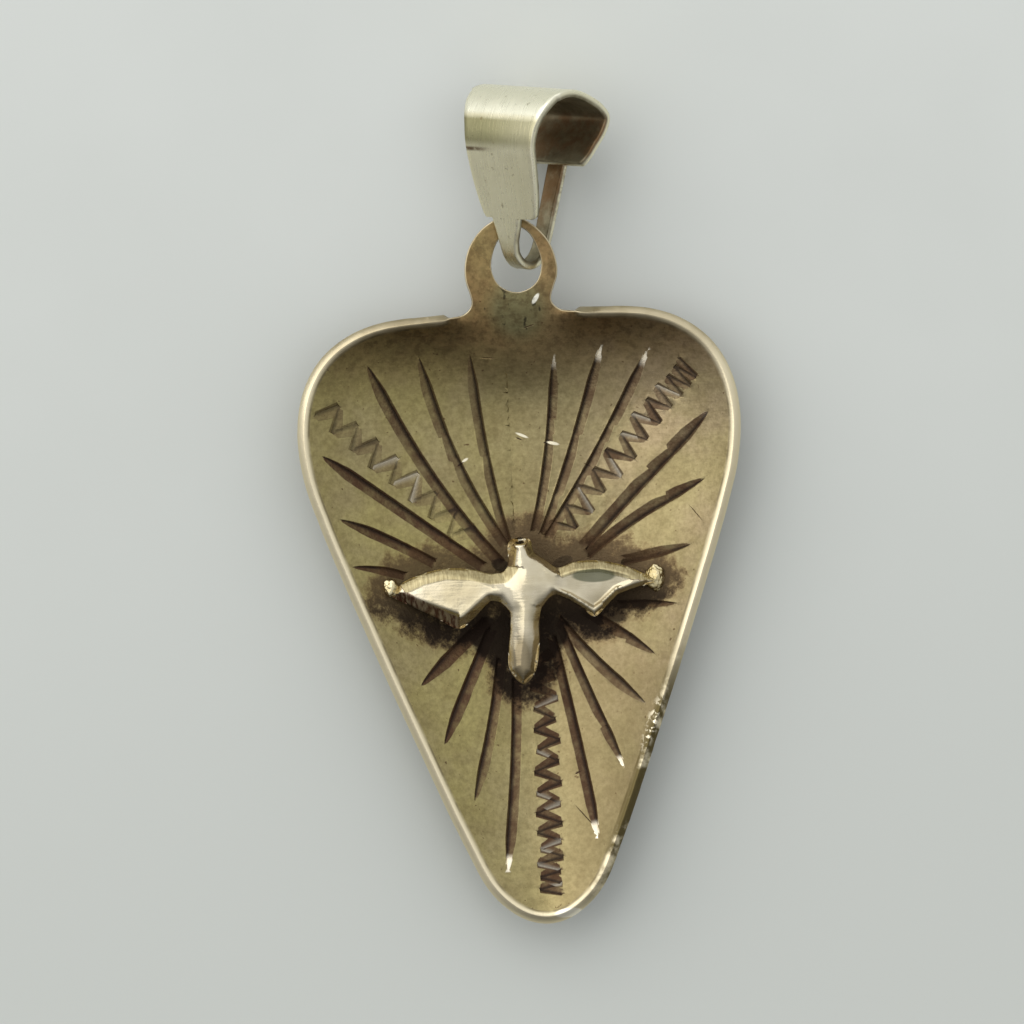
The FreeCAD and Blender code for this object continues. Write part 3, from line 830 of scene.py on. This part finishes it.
def build_bail():
    path = spline([(b, u, 0.0) for b, u in BAIL_LOOP + BAIL_HOOK], 0.09)
    step = sum((b - a).length for a, b in zip(path, path[1:])) / (len(path) - 1)
    neck = min(range(len(path)), key=lambda i: abs(path[i].x + 1.13) + abs(path[i].y - 1.30))
    rows = []
    for i, p in enumerate(path):
        a, b = path[max(i - 1, 0)], path[min(i + 1, len(path) - 1)]
        along = (b - a).normalized()
        if i > neck and p.x < 0:
            sides = (at_height(HOOK_LEFT, p.y), at_height(HOOK_RIGHT, p.y))
        elif i > neck:
            half = at_height(HOOK_BACK, p.y)
            sides = (-half, half)
        else:
            half = at_height(BAIL_BACK if p.x > 0 else BAIL_FRONT, p.y)
            sides = (BAIL_ASIDE - half, BAIL_ASIDE + half)
        rows.append([p, along, sides, i * step])
    # the shoulder, with its two small rounded corners, and the cut ends
    shoulder = rows[neck]
    extra = []
    wide, narrow = rows[neck][2], (at_height(HOOK_LEFT, 1.25), at_height(HOOK_RIGHT, 1.25))
    for back, share in ((0.10, 0.0), (0.05, 0.02), (0.02, 0.08), (0.005, 0.2), (0.0, 0.45), (0.0, 0.8),
                        (-0.012, 0.95), (-0.05, 1.0)):
        sides = (lerp(wide[0], narrow[0], share), lerp(wide[1], narrow[1], share))
        extra.append([shoulder[0] - shoulder[1] * back, shoulder[1], sides, shoulder[3] - back])
    kept = [r for r in rows[:neck] if r[3] < shoulder[3] - 0.12]
    after = [r for r in rows[neck + 1:] if r[3] > shoulder[3] + 0.07]
    rows = kept + extra + after
    total = rows[-1][3]
    first = []
    for back, cut in ((0.0, 0.16), (0.012, 0.09), (0.035, 0.04), (0.07, 0.012)):
        r = rows[0]
        first.append([r[0] + r[1] * back, r[1], (r[2][0] + cut, r[2][1] - cut), r[3] + back])
    rows = first + rows[2:]
    verts, faces = [], []
    data = {"bw": [], "bu": [], "bb": [], "outer": [], "edge": []}
    columns = 22
    corner = BAIL_CORNER
    half_t = BAIL_T / 2 - 0.002
    previous = None
    for p, along, sides, s in rows:
        half, centre = (sides[1] - sides[0]) / 2, (sides[1] + sides[0]) / 2
        across = Vector((-along.y, along.x, 0))
        thin = 1.0
        if s < 0.05:
            thin = 0.78 + 0.22 * math.sqrt(max(0.0, 1 - (1 - s / 0.05) ** 2))
        if s > total - 0.05:
            thin = 0.72
        flat = [lerp(-1, 1, k / columns) for k in range(columns + 1)]
        bevel, turn = half - corner * 0.30, 1 - 0.30 * corner / half_t
        side = [(bevel, turn, 0.7), (half, 1 - corner / half_t, 1.0), (half, 0.0, 1.0),
                (half, -1 + corner / half_t, 1.0), (bevel, -turn, 0.7)]
        ring = [(w * (half - corner), 1.0, 0.0) for w in flat] + side
        ring += [(w * (half - corner), -1.0, 0.0) for w in reversed(flat)]
        ring += [(-w, -t, edge) for w, t, edge in side]
        indices = []
        for w, t, edge in ring:
            q = p - across * t * half_t * thin
            wave = 0.006 * noise.noise(Vector((w * 0.9, s * 0.6, 2.0))) * (1 - edge)
            verts.append(in_bail(centre + w, q.y - across.y * wave, q.x - across.x * wave))
            indices.append(len(verts) - 1)
            data["bw"].append(centre + w)
            data["bu"].append(q.y)
            data["bb"].append(q.x)
            data["outer"].append(t)
            data["edge"].append(edge)
        if previous:
            faces.extend(sleeve(previous, indices))
        previous = indices
        if s == rows[0][3]:
            faces.append(tuple(reversed(indices)))
    faces.append(tuple(previous))
    return new_object("bail_strip", verts, faces, data, sharp=50)


bail_obj = build_bail()


def wing_lump(name, x, y, radii, seed, rough):
    """A lump of solder that ran and froze on the dish."""
    centre = Vector((x, y, height(x, y) + 0.08))
    edit = bmesh.new()
    bmesh.ops.create_icosphere(edit, subdivisions=5, radius=1.0)
    verts = []
    for v in edit.verts:
        d = v.co.normalized()
        swell = 1 + rough * noise.noise(d * 1.6 + Vector((seed, 0, 0)))
        swell += rough * 0.35 * noise.noise(d * 5.0 + Vector((0, seed, 0)))
        verts.append(centre + Vector((d.x * radii[0], d.y * radii[1], d.z * radii[2])) * swell)
    faces = [tuple(v.index for v in f.verts) for f in edit.faces]
    edit.free()
    for v in verts:
        v.z = max(v.z, height(v.x, v.y) - 0.02)
    return new_object(name, verts, faces)


wing_left = wing_lump("wing_solder_left_lump", -5.78, 0.42, (0.34, 0.40, 0.30), 3.0, 0.16)
wing_right = wing_lump("wing_solder_right_lump", 5.33, 0.18, (0.42, 0.54, 0.31), 8.0, 0.18)


def build_bail_solder():
    """The solder in the wedge between the curl and the end of the hook."""
    ring = spline(BAIL_SOLDER, 0.06, closed=True)
    verts, faces = [], []
    layers = 14
    previous = None
    middle = sum(ring, Vector((0, 0))) / len(ring)
    for k in range(layers + 1):
        w = lerp(-SOLDER_HALF, SOLDER_HALF, k / layers)
        shrink = 1 - 0.25 * abs(w / SOLDER_HALF) ** 4
        indices = []
        for p in ring:
            swell = 1 + 0.10 * noise.noise(Vector((p.x * 3, p.y * 3, w * 4))) - 0.08
            q = middle + (p - middle) * shrink * swell
            verts.append(in_bail(w, q.y, q.x))
            indices.append(len(verts) - 1)
        if previous:
            faces.extend(sleeve(previous, indices))
        else:
            faces.append(tuple(reversed(indices)))
        previous = indices
    faces.append(tuple(previous))
    return new_object("bail_solder_lump", verts, faces, None, 60)


bail_lump = build_bail_solder()

for piece, body, node in (
        (plate_obj, "pendant", "plate"), (dove_obj, "pendant", "dove"), (bail_obj, "bail", "bail"),
        (wing_left, "pendant", "wing_solder_left"), (wing_right, "pendant", "wing_solder_right"),
        (bail_lump, "bail", "bail_solder")):
    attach(piece, body)
    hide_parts(node)


# Materials
def set_range(node, *numbers):
    for key, number in zip(("From Min", "From Max", "To Min", "To Max"), numbers):
        node.inputs[key].default_value = number


class Nodes:
    """Short names for the shader nodes that are used again and again."""

    def __init__(self, name):
        self.material = bpy.data.materials.new(name)
        self.material.use_nodes = True
        self.tree = self.material.node_tree
        self.shader = self.tree.nodes["Principled BSDF"]
        self.places = self.new("TexCoord").outputs["Object"]
        self.base = GOLD

    def new(self, kind):
        return self.tree.nodes.new("ShaderNode" + kind)

    def link(self, value, socket):
        if isinstance(value, bpy.types.NodeSocket):
            self.tree.links.new(value, socket)
        elif isinstance(value, (tuple, list)) and len(value) == 3 and socket.type == "RGBA":
            socket.default_value = (*value, 1.0)
        else:
            socket.default_value = value

    def read(self, name):
        node = self.new("Attribute")
        node.attribute_name = name
        return node.outputs["Fac"]

    def math(self, kind, a, b=0.0, clamp=False):
        node = self.new("Math")
        node.operation = kind
        node.use_clamp = clamp
        self.link(a, node.inputs[0])
        self.link(b, node.inputs[1])
        return node.outputs[0]

    def times(self, first, *others):
        """The product of the values, worked out from the left."""
        for other in others:
            first = self.math("MULTIPLY", first, other)
        return first

    def paint(self, color, *shares):
        """A layer of a colour over what is painted so far, as strong as the product of its shares."""
        self.base = self.mix(self.times(*shares), self.base, color)

    def ramp(self, value, low, high, out_low=0.0, out_high=1.0):
        node = self.new("MapRange")
        node.interpolation_type = "SMOOTHSTEP"
        self.link(value, node.inputs["Value"])
        set_range(node, low, high, out_low, out_high)
        return node.outputs["Result"]

    def mix(self, share, a, b, kind="MIX"):
        node = self.new("Mix")
        node.data_type = "RGBA"
        node.blend_type = kind
        self.link(share, node.inputs["Factor"])
        self.link(a, node.inputs[6])
        self.link(b, node.inputs[7])
        return node.outputs[2]

    def noise(self, scale, detail=3.0, rough=0.55, stretch=None, turn=0.0, source=None, offset=(0, 0, 0)):
        at = source or self.places
        if stretch or turn or offset != (0, 0, 0):
            node = self.new("Mapping")
            self.link(at, node.inputs["Vector"])
            node.inputs["Location"].default_value = offset
            node.inputs["Rotation"].default_value = (0, 0, math.radians(turn))
            node.inputs["Scale"].default_value = stretch or (1, 1, 1)
            at = node.outputs["Vector"]
        node = self.new("TexNoise")
        self.link(at, node.inputs["Vector"])
        node.inputs["Scale"].default_value = scale
        node.inputs["Detail"].default_value = detail
        node.inputs["Roughness"].default_value = rough
        return node.outputs["Fac"]

    def axis(self, name, source=None):
        node = self.new("SeparateXYZ")
        self.link(source or self.places, node.inputs[0])
        return node.outputs[name]

    def combine(self, x, y, z=0.0):
        node = self.new("CombineXYZ")
        self.link(x, node.inputs[0])
        self.link(y, node.inputs[1])
        self.link(z, node.inputs[2])
        return node.outputs[0]

    def bump(self, heights, distance, below=None, strength=1.0):
        node = self.new("Bump")
        node.inputs["Strength"].default_value = strength
        node.inputs["Distance"].default_value = distance
        self.link(heights, node.inputs["Height"])
        if below:
            self.link(below, node.inputs["Normal"])
        return node.outputs["Normal"]

    def spot(self, x, y, rx, ry, turn=0.0):
        """1 in the middle of an oval place of the plan, 0 outside it, in mm of the solids' frame."""
        c, s = math.cos(math.radians(turn)), math.sin(math.radians(turn))
        px = self.math("SUBTRACT", self.times(self.axis("X"), 1000.0), x)
        py = self.math("SUBTRACT", self.times(self.axis("Y"), 1000.0), y)
        a = self.math("DIVIDE", self.math("ADD", self.times(px, c), self.times(py, s)), rx)
        b = self.math("DIVIDE", self.math("SUBTRACT", self.times(py, c), self.times(px, s)), ry)
        reach = self.math("SQRT", self.math("ADD", self.times(a, a), self.times(b, b)))
        return self.ramp(reach, 1.0, 0.0)

    def finish(self, metal, rough, normal):
        for name, value in (("Base Color", self.base), ("Metallic", metal), ("Roughness", rough),
                            ("Normal", normal)):
            self.link(value, self.shader.inputs[name])
        return self.material


GOLD = (0.36, 0.295, 0.145)
GOLD_OLIVE = (0.38, 0.32, 0.125)
GOLD_ROSE = (0.36, 0.275, 0.165)
BROWN = (0.085, 0.045, 0.022)
BLACK = (0.012, 0.008, 0.006)


# painted shadow pools round the dove: middle, radii and turn in the frame of the solids, and darkness
DOVE_SHADOW_POOLS = [(-1.75, -5.55, 1.55, 1.75, 20.0, 0.95), (1.05, -5.35, 0.80, 1.35, 25.0, 0.92),
           (-1.10, -2.55, 0.85, 0.55, -30.0, 0.85), (1.45, -2.55, 0.95, 0.45, 25.0, 0.65),
           (-4.10, -4.95, 1.6, 0.55, -10.0, 0.60), (3.3, -4.9, 1.3, 0.5, -15.0, 0.70),
           (0.35, -7.3, 0.35, 1.6, 3.0, 0.60)]


# painted glints where the graver was set in again: middle, radii and turn in the frame of the solids
RESTART_GLINTS = [(0.10, 2.87, 0.46, 0.09, -25.0), (1.38, 2.46, 0.44, 0.11, -15.0),
                 (-2.35, 1.97, 0.24, 0.09, 30.0)]


def plate_material():
    n = Nodes("worn gold of the plate")
    cloud = n.noise(260.0, 4.0, 0.6)
    fine = n.noise(2600.0, 4.0, 0.65)
    grit = n.noise(9000.0, 2.0, 0.6)
    # olive toward the left and rose toward the right: painted reflection of the room's two sides
    sideways = n.ramp(n.axis("X"), -0.004, 0.006)
    n.base = n.mix(sideways, GOLD_OLIVE, GOLD_ROSE)
    n.paint(GOLD, n.ramp(cloud, 0.35, 0.7))
    top = n.ramp(n.axis("Y"), 0.0042, 0.0076)
    tab = n.spot(0.25, 8.2, 2.1, 2.3)
    # painted shade: the steep top wall of the dish painted dark brown
    top_wall_shade = n.times(top, n.ramp(cloud, 0.2, 0.75, 0.45, 0.95))
    n.paint((0.22, 0.105, 0.036), top_wall_shade, 0.78)
    # the tongue painted olive green: painted reflection
    n.paint((0.20, 0.20, 0.10), n.ramp(tab, 0.15, 0.75, 0.0, 0.75))
    mottle = n.times(n.ramp(n.noise(900.0, 5.0, 0.7), 0.52, 0.72), 0.30)
    n.paint((0.15, 0.105, 0.042), mottle)
    grain = n.ramp(n.noise(4200.0, 4.0, 0.7), 0.25, 0.75, 0.55, 1.0)
    patches = n.ramp(n.noise(620.0, 5.0, 0.65, offset=(0.3, 0.1, 0.0)), 0.38, 0.66)
    n.paint((0.20, 0.15, 0.065), patches, 0.32)
    n.paint((0.10, 0.075, 0.03), n.math("SUBTRACT", 1.0, grain))
    pits = n.ramp(n.noise(5200.0, 2.0, 0.5), 0.70, 0.76)
    n.paint(BROWN, pits, 0.8)
    low_right = n.times(n.ramp(n.axis("X"), -0.0002, 0.0022), n.ramp(n.axis("Y"), -0.0035, -0.0085))
    n.paint((0.13, 0.095, 0.045), low_right, 0.40)
    dots = n.noise(2300.0, 3.0, 0.6, stretch=(1.0, 0.45, 1.0))
    flecks = n.times(n.ramp(tab, 0.05, 0.3), n.ramp(dots, 0.60, 0.66))
    n.paint((0.04, 0.035, 0.02), flecks, 0.85)
    # a white oval on the tongue: painted highlight
    n.paint((0.95, 0.90, 0.74), n.ramp(n.spot(1.02, 8.55, 0.42, 0.16, turn=55.0), 0.2, 0.6))
    # darker streaks toward the top of the dish: painted shade of the steep top wall
    top_dark_streaks = n.times(top, n.ramp(n.noise(2500.0, 4.0, 0.7), 0.45, 0.65))
    n.paint((0.055, 0.030, 0.014), top_dark_streaks, 0.45)
    # tarnish in the cuts, and black along their steep walls: dirt and painted shade
    dark = n.read("dark")
    share = n.read("share")
    uneven = n.ramp(n.noise(1500.0, 4.0, 0.7), 0.30, 0.72, 1.25, 0.75)
    tarnish = n.math("MULTIPLY", dark, uneven, clamp=True)
    n.paint(BROWN, n.ramp(tarnish, 0.05, 0.85))
    # black along the steep wall of each cut: dirt and painted shade
    steep_wall_dirt_and_shade = n.times(n.ramp(share, 0.55, 0.95), n.ramp(dark, 0.1, 0.6))
    n.paint(BLACK, steep_wall_dirt_and_shade, 0.75)
    # painted shadow round and under the dove, darker below it, with a brown fringe
    near_dove = n.read("near_dove")
    ragged = n.math("ADD", near_dove, n.times(n.math("SUBTRACT", n.noise(1100.0, 6.0, 0.75), 0.5), 1.5))
    dove_shadow = n.ramp(ragged, 0.62, 0.98)
    below = n.ramp(n.axis("Y"), -0.0026, -0.0050)
    dove_shadow = n.math("MULTIPLY", dove_shadow, n.math("ADD", n.times(below, 0.50), 0.45), clamp=True)
    grain = n.times(n.math("SUBTRACT", n.noise(1300.0, 5.0, 0.7), 0.5), 0.9)
    for x, y, rx, ry, turn, much in DOVE_SHADOW_POOLS:
        pool = n.math("ADD", n.spot(x, y, rx, ry, turn), grain)
        dove_shadow = n.math("MAXIMUM", dove_shadow, n.ramp(pool, 0.30, 0.62, 0.0, much))
    shadow_fringe = n.times(n.ramp(ragged, 0.48, 0.90), 0.70)
    n.paint((0.13, 0.068, 0.028), shadow_fringe)
    n.paint(BLACK, dove_shadow)
    # painted glints where the graver was set in again
    for x, y, rx, ry, turn in RESTART_GLINTS:
        n.paint((0.84, 0.76, 0.56), n.ramp(n.spot(x, y, rx, ry, turn), 0.15, 0.6))
    glint = n.read("glint")
    n.paint((0.95, 0.85, 0.66), n.ramp(glint, 0.1, 0.8))
    # filed rim: bright on the left and top, olive black and nicked at the lower right
    rim_face = n.read("edge")
    worn = n.times(n.ramp(n.axis("X"), 0.001, 0.003), n.ramp(n.axis("Y"), -0.005, -0.009))
    nicked = n.times(worn, n.ramp(n.noise(900.0, 4.0, 0.6), 0.30, 0.50))
    rim_color = n.mix(nicked, (0.74, 0.64, 0.43), (0.11, 0.085, 0.035))
    uneven = n.ramp(n.noise(500.0, 3.0, 0.6), 0.30, 0.65, 0.85, 0.45)
    high = n.times(n.ramp(n.axis("Y"), 0.0050, 0.0075), uneven)
    rim_color = n.mix(high, rim_color, (0.30, 0.235, 0.13))
    n.paint(rim_color, rim_face)
    # a dark line where the hollow face meets the rim face: painted shade
    inner_line = n.times(n.ramp(rim_face, 0.02, 0.20), n.ramp(rim_face, 0.75, 0.40))
    n.paint((0.09, 0.065, 0.025), inner_line, n.ramp(n.noise(700.0, 3.0, 0.6), 0.35, 0.6, 0.10, 0.60))
    # the polished flat at the tip, painted near white: painted highlight
    flat_tip = n.spot(0.85, -17.25, 0.85, 0.28, turn=4.0)
    n.paint((0.97, 0.90, 0.72), n.ramp(flat_tip, 0.1, 0.4))
    chips = n.times(n.spot(4.85, -9.5, 0.36, 1.7, turn=-22.0),
                    n.ramp(n.noise(3000.0, 3.0, 0.6), 0.50, 0.60))
    n.paint((0.90, 0.80, 0.58), n.math("MULTIPLY", chips, 1.3, clamp=True))
    scratches = n.noise(1400.0, 2.0, 0.5, stretch=(9.0, 0.35, 1.0), turn=28.0)
    scratches2 = n.noise(1700.0, 2.0, 0.5, stretch=(0.35, 9.0, 1.0), turn=-17.0)
    rough = n.math("ADD", n.ramp(cloud, 0.2, 0.8, 0.24, 0.38), n.times(tarnish, 0.30))
    rough = n.math("ADD", rough, n.times(dove_shadow, 0.35), clamp=True)
    # the painted shadow and the tarnish are less metallic and less glossy
    tarnish_and_shadow = n.math("MAXIMUM", dove_shadow, n.times(tarnish, 0.7))
    metal = n.math("SUBTRACT", 1.0, n.times(tarnish_and_shadow, 0.75), clamp=True)
    normal = n.bump(n.math("ADD", n.times(scratches, 0.5), n.times(scratches2, 0.5)), 0.00001, strength=0.5)
    normal = n.bump(fine, 0.00002, normal, 0.45)
    rougher = n.times(grit, n.math("ADD", n.times(n.math("MAXIMUM", tarnish, dove_shadow), 1.0), 0.06))
    normal = n.bump(rougher, 0.00005, normal, 0.8)
    gloss = n.math("SUBTRACT", 0.5, n.times(tarnish_and_shadow, 0.46), clamp=True)
    n.link(gloss, n.shader.inputs["Specular IOR Level"])
    return n.finish(metal, rough, normal)


def dove_material():
    n = Nodes("bright gold of the dove")
    side, gap = n.read("side"), n.read("gap")
    streaks = n.noise(2600.0, 3.0, 0.6, stretch=(3.0, 0.5, 1.0), turn=-35.0)
    n.base = n.mix(n.ramp(n.noise(500.0, 3.0, 0.6), 0.35, 0.7), (0.66, 0.58, 0.42), (0.50, 0.43, 0.28))
    tail = n.math("MULTIPLY", n.spot(-0.45, -6.6, 0.75, 1.9), 1.6, clamp=True)
    n.paint((0.20, 0.155, 0.085), n.math("MULTIPLY", tail, 0.85, clamp=True))
    low_wing = n.math("MAXIMUM", n.spot(2.9, -4.25, 1.2, 0.75), n.times(n.spot(-3.0, -3.6, 2.2, 1.3), 0.45))
    n.paint((0.27, 0.22, 0.13), low_wing, 0.75)
    # the file marks of the wings' upper bevels
    filed = n.noise(3000.0, 2.0, 0.6, stretch=(4.0, 0.6, 1.0), turn=12.0)
    upper = n.times(n.ramp(side, 1.4, 1.6), n.ramp(gap, 0.50, 0.42))
    tan = n.mix(n.ramp(filed, 0.35, 0.65), (0.50, 0.42, 0.22), (0.34, 0.27, 0.13))
    n.paint(tan, upper, 0.85)
    brown = n.times(n.ramp(side, 0.4, 0.7), n.ramp(side, 1.6, 1.3))
    bevel = n.times(brown, n.ramp(gap, 0.46, 0.40))
    n.paint((0.13, 0.070, 0.042), bevel, n.ramp(streaks, 0.38, 0.62, 1.0, 0.45))
    # the facet of the right wing that mirrors the dark side of the room
    facet = n.spot(2.75, -3.20, 1.50, 0.46, turn=-3.0)
    n.paint((0.09, 0.10, 0.055), n.ramp(facet, 0.25, 0.45), 0.75)
    throat = n.spot(0.25, -1.95, 0.45, 0.60)
    n.paint((0.30, 0.27, 0.12), n.ramp(throat, 0.2, 0.7), 0.45)
    brushed = n.times(n.spot(0.05, -3.6, 0.5, 1.0), 0.7)
    # black at the end of the head: painted shadow
    head_end_shadow = n.spot(-0.28, -1.40, 0.5, 0.20)
    n.paint((0.03, 0.02, 0.01), n.ramp(head_end_shadow, 0.3, 0.7))
    rough = n.ramp(n.noise(1800.0, 4.0, 0.6), 0.3, 0.7, 0.12, 0.26)
    rough = n.math("ADD", rough, n.times(brushed, 0.14))
    rough = n.math("ADD", rough, n.times(n.math("MAXIMUM", upper, bevel), 0.22), clamp=True)
    scratches = n.noise(1900.0, 2.0, 0.5, stretch=(0.5, 7.0, 1.0), turn=30.0)
    normal = n.bump(scratches, 0.00001, strength=0.5)
    normal = n.bump(n.noise(1300.0, 3.0, 0.6), 0.00004, normal, 0.4)
    normal = n.bump(n.times(filed, upper), 0.00004, normal, 0.5)
    return n.finish(1.0, rough, normal)


def bail_material():
    n = Nodes("worn gold of the bail")
    w, u, b, outer, edge = n.read("bw"), n.read("bu"), n.read("bb"), n.read("outer"), n.read("edge")
    along = n.combine(n.times(w, 7.0), n.times(u, 0.5), n.times(b, 0.5))
    brushed = n.noise(2.2, 4.0, 0.6, source=along)
    cloud = n.noise(420.0, 4.0, 0.6)
    front = n.times(n.ramp(b, 0.2, -0.5), n.ramp(outer, 0.2, 0.8))
    n.base = n.mix(n.ramp(cloud, 0.3, 0.7), (0.76, 0.70, 0.49), (0.68, 0.62, 0.42))
    band = n.times(n.ramp(u, 4.25, 4.75), n.ramp(u, 5.72, 5.50))
    n.paint((0.24, 0.22, 0.105), band, front, n.ramp(w, 2.4, -0.6, 0.60, 0.90))
    # painted highlight along the crest of the loop
    crest = n.times(n.ramp(u, 5.66, 5.86), n.ramp(outer, 0.2, 0.8))
    n.paint((0.97, 0.94, 0.76), crest, 0.75)
    # the side edges of the strip painted pale: painted highlight
    n.paint((0.92, 0.87, 0.66), edge, 0.6)
    line = n.times(n.ramp(u, 4.18, 4.30), n.ramp(u, 4.46, 4.34))
    line = n.times(line, front, n.ramp(w, 0.6, -1.1))
    n.paint((0.10, 0.05, 0.02), line, n.ramp(n.noise(2600.0, 4.0, 0.7), 0.35, 0.55, 0.4, 0.9))
    specks = n.times(n.ramp(n.noise(3800.0, 3.0, 0.6), 0.66, 0.72), front)
    n.paint((0.20, 0.15, 0.07), specks, 0.6)
    inside = n.ramp(outer, 0.3, -0.6)
    # the inner face of the strip painted darker in blotches
    darker_inside = n.times(inside, n.ramp(n.noise(900.0, 5.0, 0.7), 0.25, 0.7, 1.0, 0.65))
    n.paint((0.13, 0.105, 0.055), darker_inside)
    curl = n.times(n.ramp(b, 1.2, 1.9), n.ramp(u, 5.2, 4.6), inside)
    n.paint((0.20, 0.115, 0.055), curl, n.ramp(n.noise(1700.0, 5.0, 0.7), 0.35, 0.6, 0.95, 0.35))
    tail = n.times(n.ramp(b, 0.9, 1.5), n.ramp(u, 4.6, 4.0), n.ramp(n.noise(1300.0, 5.0, 0.7), 0.40, 0.62))
    n.paint((0.17, 0.10, 0.045), tail, n.ramp(n.math("ABSOLUTE", w), 0.62, 0.5), 0.75)
    rough = n.math("ADD", n.ramp(brushed, 0.2, 0.8, 0.22, 0.38), n.times(darker_inside, 0.25))
    normal = n.bump(brushed, 0.00001, strength=0.6)
    normal = n.bump(n.noise(1500.0, 4.0, 0.6), 0.00003, normal, 0.35)
    return n.finish(1.0, rough, normal)


def solder_material():
    n = Nodes("solder")
    n.base = n.mix(n.ramp(n.noise(1500.0, 4.0, 0.6), 0.35, 0.65), (0.70, 0.61, 0.38), (0.42, 0.33, 0.15))
    normal = n.bump(n.noise(2500.0, 4.0, 0.6), 0.00005, strength=0.5)
    return n.finish(1.0, 0.24, normal)


gold_plate, gold_dove = plate_material(), dove_material()
gold_bail, gold_solder = bail_material(), solder_material()
for piece, material, slot in (
        (plate_obj, gold_plate, "gold_plate"), (dove_obj, gold_dove, "gold_dove"),
        (bail_obj, gold_bail, "gold_bail"), (wing_left, gold_solder, "gold_solder"),
        (wing_right, gold_solder, "gold_solder"), (bail_lump, gold_solder, "gold_solder")):
    piece.data.materials.append(material)


# Floor, light and camera
def floor_material():
    n = Nodes("pale card")
    n.base = n.mix(n.ramp(n.noise(60.0, 3.0, 0.6), 0.3, 0.7), (0.605, 0.615, 0.570), (0.580, 0.590, 0.545))
    # the card painted darker toward the bottom: painted shade of the light falling away
    n.paint((0.52, 0.53, 0.485), n.ramp(n.axis("Y"), 0.022, -0.022))
    normal = n.bump(n.noise(900.0, 4.0, 0.6), 0.00004, strength=0.12)
    return n.finish(0.0, 0.75, normal)


bpy.ops.mesh.primitive_plane_add(size=1.2, location=(0, 0, 0))
floor = bpy.context.object
floor.name = "floor"
floor.data.materials.append(floor_material())

ROOM_DARK = 0.12
ROOM_BRIGHT = 1.12
ROOM_TOWARD = Vector((0.02, 0.78, 0.62))        # the brightest side of the room
world = bpy.data.worlds.new("room")
bpy.context.scene.world = world
world.use_nodes = True


def room_light(tree):
    """A dim room, brightest beyond the top of the pendant and darkest toward its tip."""
    toward = tree.nodes.new("ShaderNodeTexCoord").outputs["Generated"]
    dot = tree.nodes.new("ShaderNodeVectorMath")
    dot.operation = "DOT_PRODUCT"
    tree.links.new(toward, dot.inputs[0])
    dot.inputs[1].default_value = ROOM_TOWARD.normalized()
    level = tree.nodes.new("ShaderNodeMapRange")
    level.interpolation_type = "SMOOTHSTEP"
    tree.links.new(dot.outputs["Value"], level.inputs["Value"])
    set_range(level, -0.9, 0.9, ROOM_DARK, ROOM_BRIGHT)
    back = tree.nodes["Background"]
    back.inputs["Color"].default_value = (0.93, 0.96, 1.0, 1.0)
    tree.links.new(level.outputs["Result"], back.inputs["Strength"])


room_light(world.node_tree)


def softbox(name, place, size_x, size_y, watts, color):
    data = bpy.data.lights.new(name, "AREA")
    data.shape = "RECTANGLE"
    data.size = size_x
    data.size_y = size_y
    data.energy = watts
    data.color = color
    light = bpy.data.objects.new(name, data)
    bpy.context.scene.collection.objects.link(light)
    light.location = place
    light.rotation_euler = (-Vector(place)).to_track_quat("-Z", "Y").to_euler()
    return light


softbox("window", (-0.30, 0.26, 0.36), 0.70, 0.70, 1.5, (1.0, 0.99, 0.965))


# Camera: straight above, turned so that the pendant leans as it does in the picture.
LOOK_AT = Vector((-0.51, -0.33, 2.0)) * MM
LOOK_TURN = 3.5
FRAME_WIDTH = 43.0
CAMERA_RISE = 0.60
camera_data = bpy.data.cameras.new("camera")
camera = bpy.data.objects.new("camera", camera_data)
bpy.context.scene.collection.objects.link(camera)
camera.location = LOOK_AT + Vector((0, 0, CAMERA_RISE))
camera.rotation_euler = Euler((0, 0, math.radians(-LOOK_TURN)))
camera_data.sensor_width = 36.0
camera_data.lens = 36.0 * CAMERA_RISE / (FRAME_WIDTH * MM)
camera_data.clip_start = 0.01
camera_data.clip_end = 5.0
bpy.context.scene.camera = camera
bpy.context.scene.view_settings.view_transform = "Standard"
